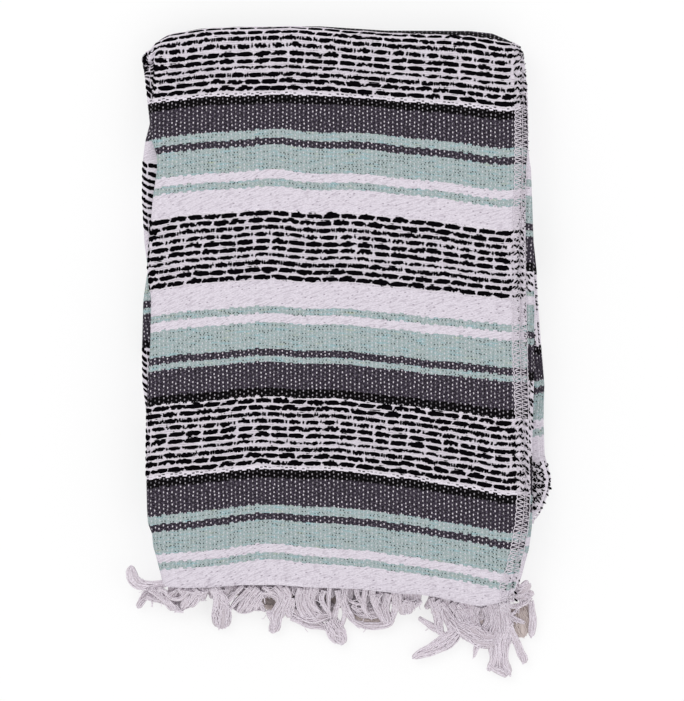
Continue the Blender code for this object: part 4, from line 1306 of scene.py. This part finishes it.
def woven_cloth(name):
    """Striped cloth: thick coloured weft, with thin white warp showing through as dots."""
    n = Nodes(name, 0.93, 0.06)
    across, along_cloth = n.cloth_place()

    cells = across / WARP_PITCH
    column_number = n.floor(cells)
    in_column = n.fract(cells) - 0.5
    odd = n.math("PINGPONG", column_number, 1.0)
    column_noise = n.random(n.vector(column_number, 3.0))
    row_cells = along_cloth / DOT_PITCH + odd * 0.5 + column_noise[0] * 0.35
    row_number = n.floor(row_cells)
    in_row = n.fract(row_cells) - 0.5
    dot_x, dot_y, dot_size = n.random(n.vector(column_number, row_number))

    # White warp dots, one for each crossing
    off_x = in_column + (dot_x - 0.5) * 0.24
    off_y = in_row + (dot_y - 0.5) * 0.26
    dot = n.smooth(n.oval(off_x, off_y, 0.152, 0.235), 1.35, 0.45)
    dot = dot * n.smooth(dot_size, 0.0, 0.8, 0.25, 1.0)

    # Stripes, whose edges step from one column to the next
    wander = n.noise(n.vector(across, along_cloth), 0.11)
    step = (odd - 0.5) * 0.75 + (column_noise[1] - 0.5) * 0.9 + (wander - 0.5) * 1.4
    place = n.fract((along_cloth + step) / REPEAT + 4.0)
    colour, dots, pinholes, lines, dashes = (n.ramp(place, stripe_stops(each), True) for each in Yarn._fields)

    # Fibres of the weft, long across the cloth, and fluff on the grey and the mint
    fibre = n.noise(n.vector(across * 0.35, along_cloth), 1.5, 3.0, 0.7)
    shade = n.ramp(fibre, [(0.28, 0.76), (0.72, 1.20)])
    flecks = n.ramp(fibre, [(0.40, 0.03), (0.51, 0.7), (0.66, (4.4, 4.3, 4.3))])
    fuzzy = n.smooth(dots, 0.86, 0.89)
    mottle = n.noise(n.vector(across, along_cloth), 1.1, 2.0, 0.7)
    mottle = n.ramp(mottle, [(0.3, (0.66, 0.68, 0.68)), (0.7, (1.32, 1.30, 1.30))])
    colour = n.mix(n.smooth(dots, 0.5, 0.6), colour, n.multiply(colour, mottle))
    colour = n.multiply(colour, n.mix(fuzzy, shade, flecks))
    fluff = n.noise(n.vector(across * 0.5, along_cloth), 2.6, 3.0, 0.8)
    fluff = n.smooth(fluff, 0.52, 0.70) * fuzzy * n.smooth(abs(off_x), 0.5, 0.2, 0.25, 0.6)
    colour = n.mix(fluff, colour, (0.31, 0.275, 0.335))
    slub = n.noise(n.vector(across * 0.12, along_cloth), 0.55, 1.0)
    tint = n.ramp(slub, [(0.30, (0.86, 1.06, 1.12)), (0.46, 1.0), (0.66, 1.0), (0.78, (1.12, 1.08, 0.80))])
    colour = n.mix(n.smooth(pinholes * 0.9, 0.3, 0.7), colour, n.multiply(colour, tint))

    # Painted shade across the warp ribs: the colour lighter on each rib's crest and darker between ribs,
    # where the stripe has dots
    rib_shade = n.smooth(abs(in_column), 0.05, 0.4, 1.05, 0.97)
    rib_shade = n.mix(n.smooth(dots, 0.3, 0.5), (1.0, 1.0, 1.0), n.vector(rib_shade, rib_shade, rib_shade))
    colour = n.multiply(colour, rib_shade)

    # Pinholes between the threads, painted dark as the shade inside them
    hole = n.smooth(n.oval(abs(off_x) - 0.38, off_y, 0.19, 0.16), 1.3, 0.4)
    hole = hole * n.smooth(dot_size, 0.2, 0.5, 1.0, 0.0) * pinholes
    colour = n.mix(hole, colour, (0.035, 0.05, 0.045))

    # Weft lines on the white: painted shade in the grooves between the weft rows, also sunk in the relief
    weft = n.math("SINE", (along_cloth + wander * 6.0) * math.pi)
    line = n.smooth(weft, 0.2, 1.0, 0.0, 0.16) * lines
    colour = n.mix(line, colour, (0.20, 0.17, 0.20))

    # Fine slanting lines of the white weft
    twill = n.noise(n.vector(across * 0.16, across * 0.34 + along_cloth * -0.94), 0.75, 2.0, 0.6)
    colour = n.mix(n.smooth(twill, 0.50, 0.62, 0.0, 0.42) * dashes, colour, (0.36, 0.31, 0.37))

    # Puckers at the hem, where the fringe is drawn out of the cloth: painted shade in their folds, as darker
    # streaks near the hem's edge
    pucker_shade = n.noise(n.vector(across * 0.9, along_cloth * 0.16), 0.8)
    pucker_shade = n.smooth(pucker_shade, 0.50, 0.68, 0.0, 0.3) * n.smooth(along_cloth, 8.0, 0.5)
    colour = n.mix(pucker_shade, colour, (0.30, 0.25, 0.29))

    # A row of small dashes just above each black stripe
    stitch = n.smooth(abs(place * REPEAT - DASH_ROW_S), 0.75, 0.35) * n.smooth(abs(off_x), 0.36, 0.24)
    colour = n.mix(stitch * n.smooth(dot_size, 0.1, 0.7), colour, (0.01, 0.01, 0.012))

    # Short dashes where the white weft dips, in slanting lines
    rows_cell = along_cloth / 3.1
    dash_row = n.floor(rows_cell)
    dash_cell = across / 6.2 + dash_row * 0.38
    dash_far, dash_shift, dash_show = n.random(n.vector(n.floor(dash_cell), dash_row, 7.0))
    dash_x = n.fract(dash_cell) - (dash_far * 0.28 + 0.36)
    dash_y = n.fract(rows_cell) - (dash_shift * 0.2 + 0.4) - dash_x * 0.45
    dash = n.smooth(n.oval(dash_x, dash_y, 0.17, 0.15), 1.3, 0.3) * n.smooth(dash_show, 0.55, 0.95, 0.0, 0.8)
    colour = n.mix(dash * dashes, colour, (0.22, 0.18, 0.23))
    dot_mask = dot * dots
    colour = n.mix(dot_mask, colour, (0.72, 0.67, 0.73))

    # Relief
    rib = n.math("COSINE", in_column * (2 * math.pi)) * n.smooth(in_row, -0.5, 0.5, 0.35, 0.6)
    weave = n.math("COSINE", in_row * (4 * math.pi)) * 0.25
    height = (rib + weave) * (1.0 - lines * 0.75)
    height = height + dot_mask * 0.9 - hole * 1.2 - line * 5.0 + fibre * 0.8
    return n.finish(colour, height, 0.00035, 0.8)


def yarn_material(name, colour, dark, roughness=0.9, sheen=0.1):
    """Spun yarn, streaked along its fibres."""
    n = Nodes(name, roughness, 2 * sheen)
    n.shader.inputs["Sheen Weight"].default_value = sheen
    where = n.node("TexCoord", output="Object")
    fibre = n.noise(where, 900.0, 3.0, 0.7)
    patch = n.noise(where, 60.0)
    mixed = n.mix(n.smooth(fibre, 0.3, 0.7), dark, colour)
    mixed = n.mix(n.smooth(patch, 0.3, 0.7, 0.0, 0.25), mixed, dark)
    return n.finish(mixed, fibre, 0.0003, 0.7)


def floor_material():
    # A dark grey floor that glows: the glow is painted light, which makes it pale and washes out the shadows
    # cast on it
    n = Nodes("glowing_floor", 0.9)
    n.shader.inputs["Base Color"].default_value = (0.28, 0.28, 0.28, 1.0)
    n.shader.inputs["Emission Color"].default_value = (1.0, 1.0, 1.0, 1.0)
    n.shader.inputs["Emission Strength"].default_value = FLOOR_GLOW
    return n.material


# The scene

def studio():
    bpy.context.scene.view_settings.view_transform = "Standard"
    floor = bpy.data.meshes.new("floor")
    reach = FLOOR_HALF_WIDTH
    corners = [(x, y, 0) for x, y in ((-reach, -reach), (reach, -reach), (reach, reach), (-reach, reach))]
    floor.from_pydata(corners, [], [(0, 1, 2, 3)])
    floor.materials.append(floor_material())
    floor = bpy.data.objects.new("floor", floor)
    bpy.context.scene.collection.objects.link(floor)

    world = bpy.data.worlds.new("studio")
    world.use_nodes = True
    world.node_tree.nodes["Background"].inputs["Color"].default_value = (1.0, 1.0, 1.0, 1.0)
    world.node_tree.nodes["Background"].inputs["Strength"].default_value = DAYLIGHT
    bpy.context.scene.world = world
    for name, place, size, power in LIGHTS:
        light = bpy.data.lights.new(name, "AREA")
        light.size = size
        light.energy = power
        light = bpy.data.objects.new(name, light)
        light.location = place
        away = math.atan2(math.hypot(place[0], place[1]), place[2])
        light.rotation_euler = (away, 0.0, math.atan2(place[0], -place[1]))
        bpy.context.scene.collection.objects.link(light)

    lens = bpy.data.cameras.new("camera")
    lens.sensor_fit = "VERTICAL"
    lens.sensor_height = SENSOR
    top = 2 * HALF_STACK + 1
    lens.lens = SENSOR * (CAMERA_HEIGHT - top * MM) / VIEW_HEIGHT
    camera = bpy.data.objects.new("camera", lens)
    camera.location = (CAMERA_X * MM, CAMERA_Y * MM, CAMERA_HEIGHT)
    bpy.context.scene.collection.objects.link(camera)
    bpy.context.scene.camera = camera


def main():
    studio()
    cloth = woven_cloth("striped_cloth_weave")
    inner = woven_cloth("inner_cloth_weave")
    black = yarn_material("black_yarn", (0.004, 0.003, 0.005), (0.001, 0.001, 0.001), 1.0, 0.0)
    white = yarn_material("fringe_yarn_white", (0.88, 0.83, 0.90), (0.64, 0.57, 0.62))
    # A darker copy of the fringe yarn: painted shade for the yarns deep in each lock
    shaded_inside = yarn_material("fringe_yarn_shaded_inside", (0.68, 0.62, 0.68), (0.50, 0.44, 0.47))
    # A darker, browner copy of the fringe yarn: painted shade for the low locks seen through the gaps
    shade_yarn = yarn_material("fringe_yarn_painted_shade", (0.64, 0.56, 0.54), (0.56, 0.48, 0.46))
    weft = yarn_material("white_weft", (0.80, 0.75, 0.81), (0.68, 0.63, 0.69))
    thread = yarn_material("selvedge_thread", (0.78, 0.73, 0.79), (0.64, 0.59, 0.65))

    sheet = striped_sheet(cloth)
    layers = layered_edges(inner)
    hem = hem_layers(inner)
    middle_s = fold_centre(0.0) - HEM_Y + 40
    woven = floats("black_floats", 0, middle_s, black)
    woven_under = floats("black_floats_underside", middle_s, path_length() - 4, black)
    strands = weft_strands(weft)
    turned = side_floats(black)
    bits = edge_bits(black)
    sewing = stitches(thread)
    LOCKS.extend(root_locks())
    loose = strays(white)
    front = fringe("front_fringe_yarns", "front", white)
    back = fringe("back_fringe_yarns", "back", white)
    cores = lock_cores("fringe_lock_cores", ("front", "back"), shaded_inside)
    shade_locks = fringe("fringe_shade_lock_yarns", "shade_locks", shade_yarn)
    shade_locks_core = lock_cores("fringe_shade_lock_core", ("shade_locks",), shade_yarn)

    slots = {
        "striped_cloth": [sheet, woven, woven_under, strands, sewing],
        "inner_cloth": [layers, hem, turned, bits],
        "fringe_yarn": [loose, front, back, cores, shade_locks, shade_locks_core],
    }
    for slot, pieces in slots.items():
        for piece in pieces:
            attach(piece, "root")
    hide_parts("outer_cloth")
    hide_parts("hidden_layers")
    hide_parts("front_fringe")
    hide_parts("back_fringe")


main()
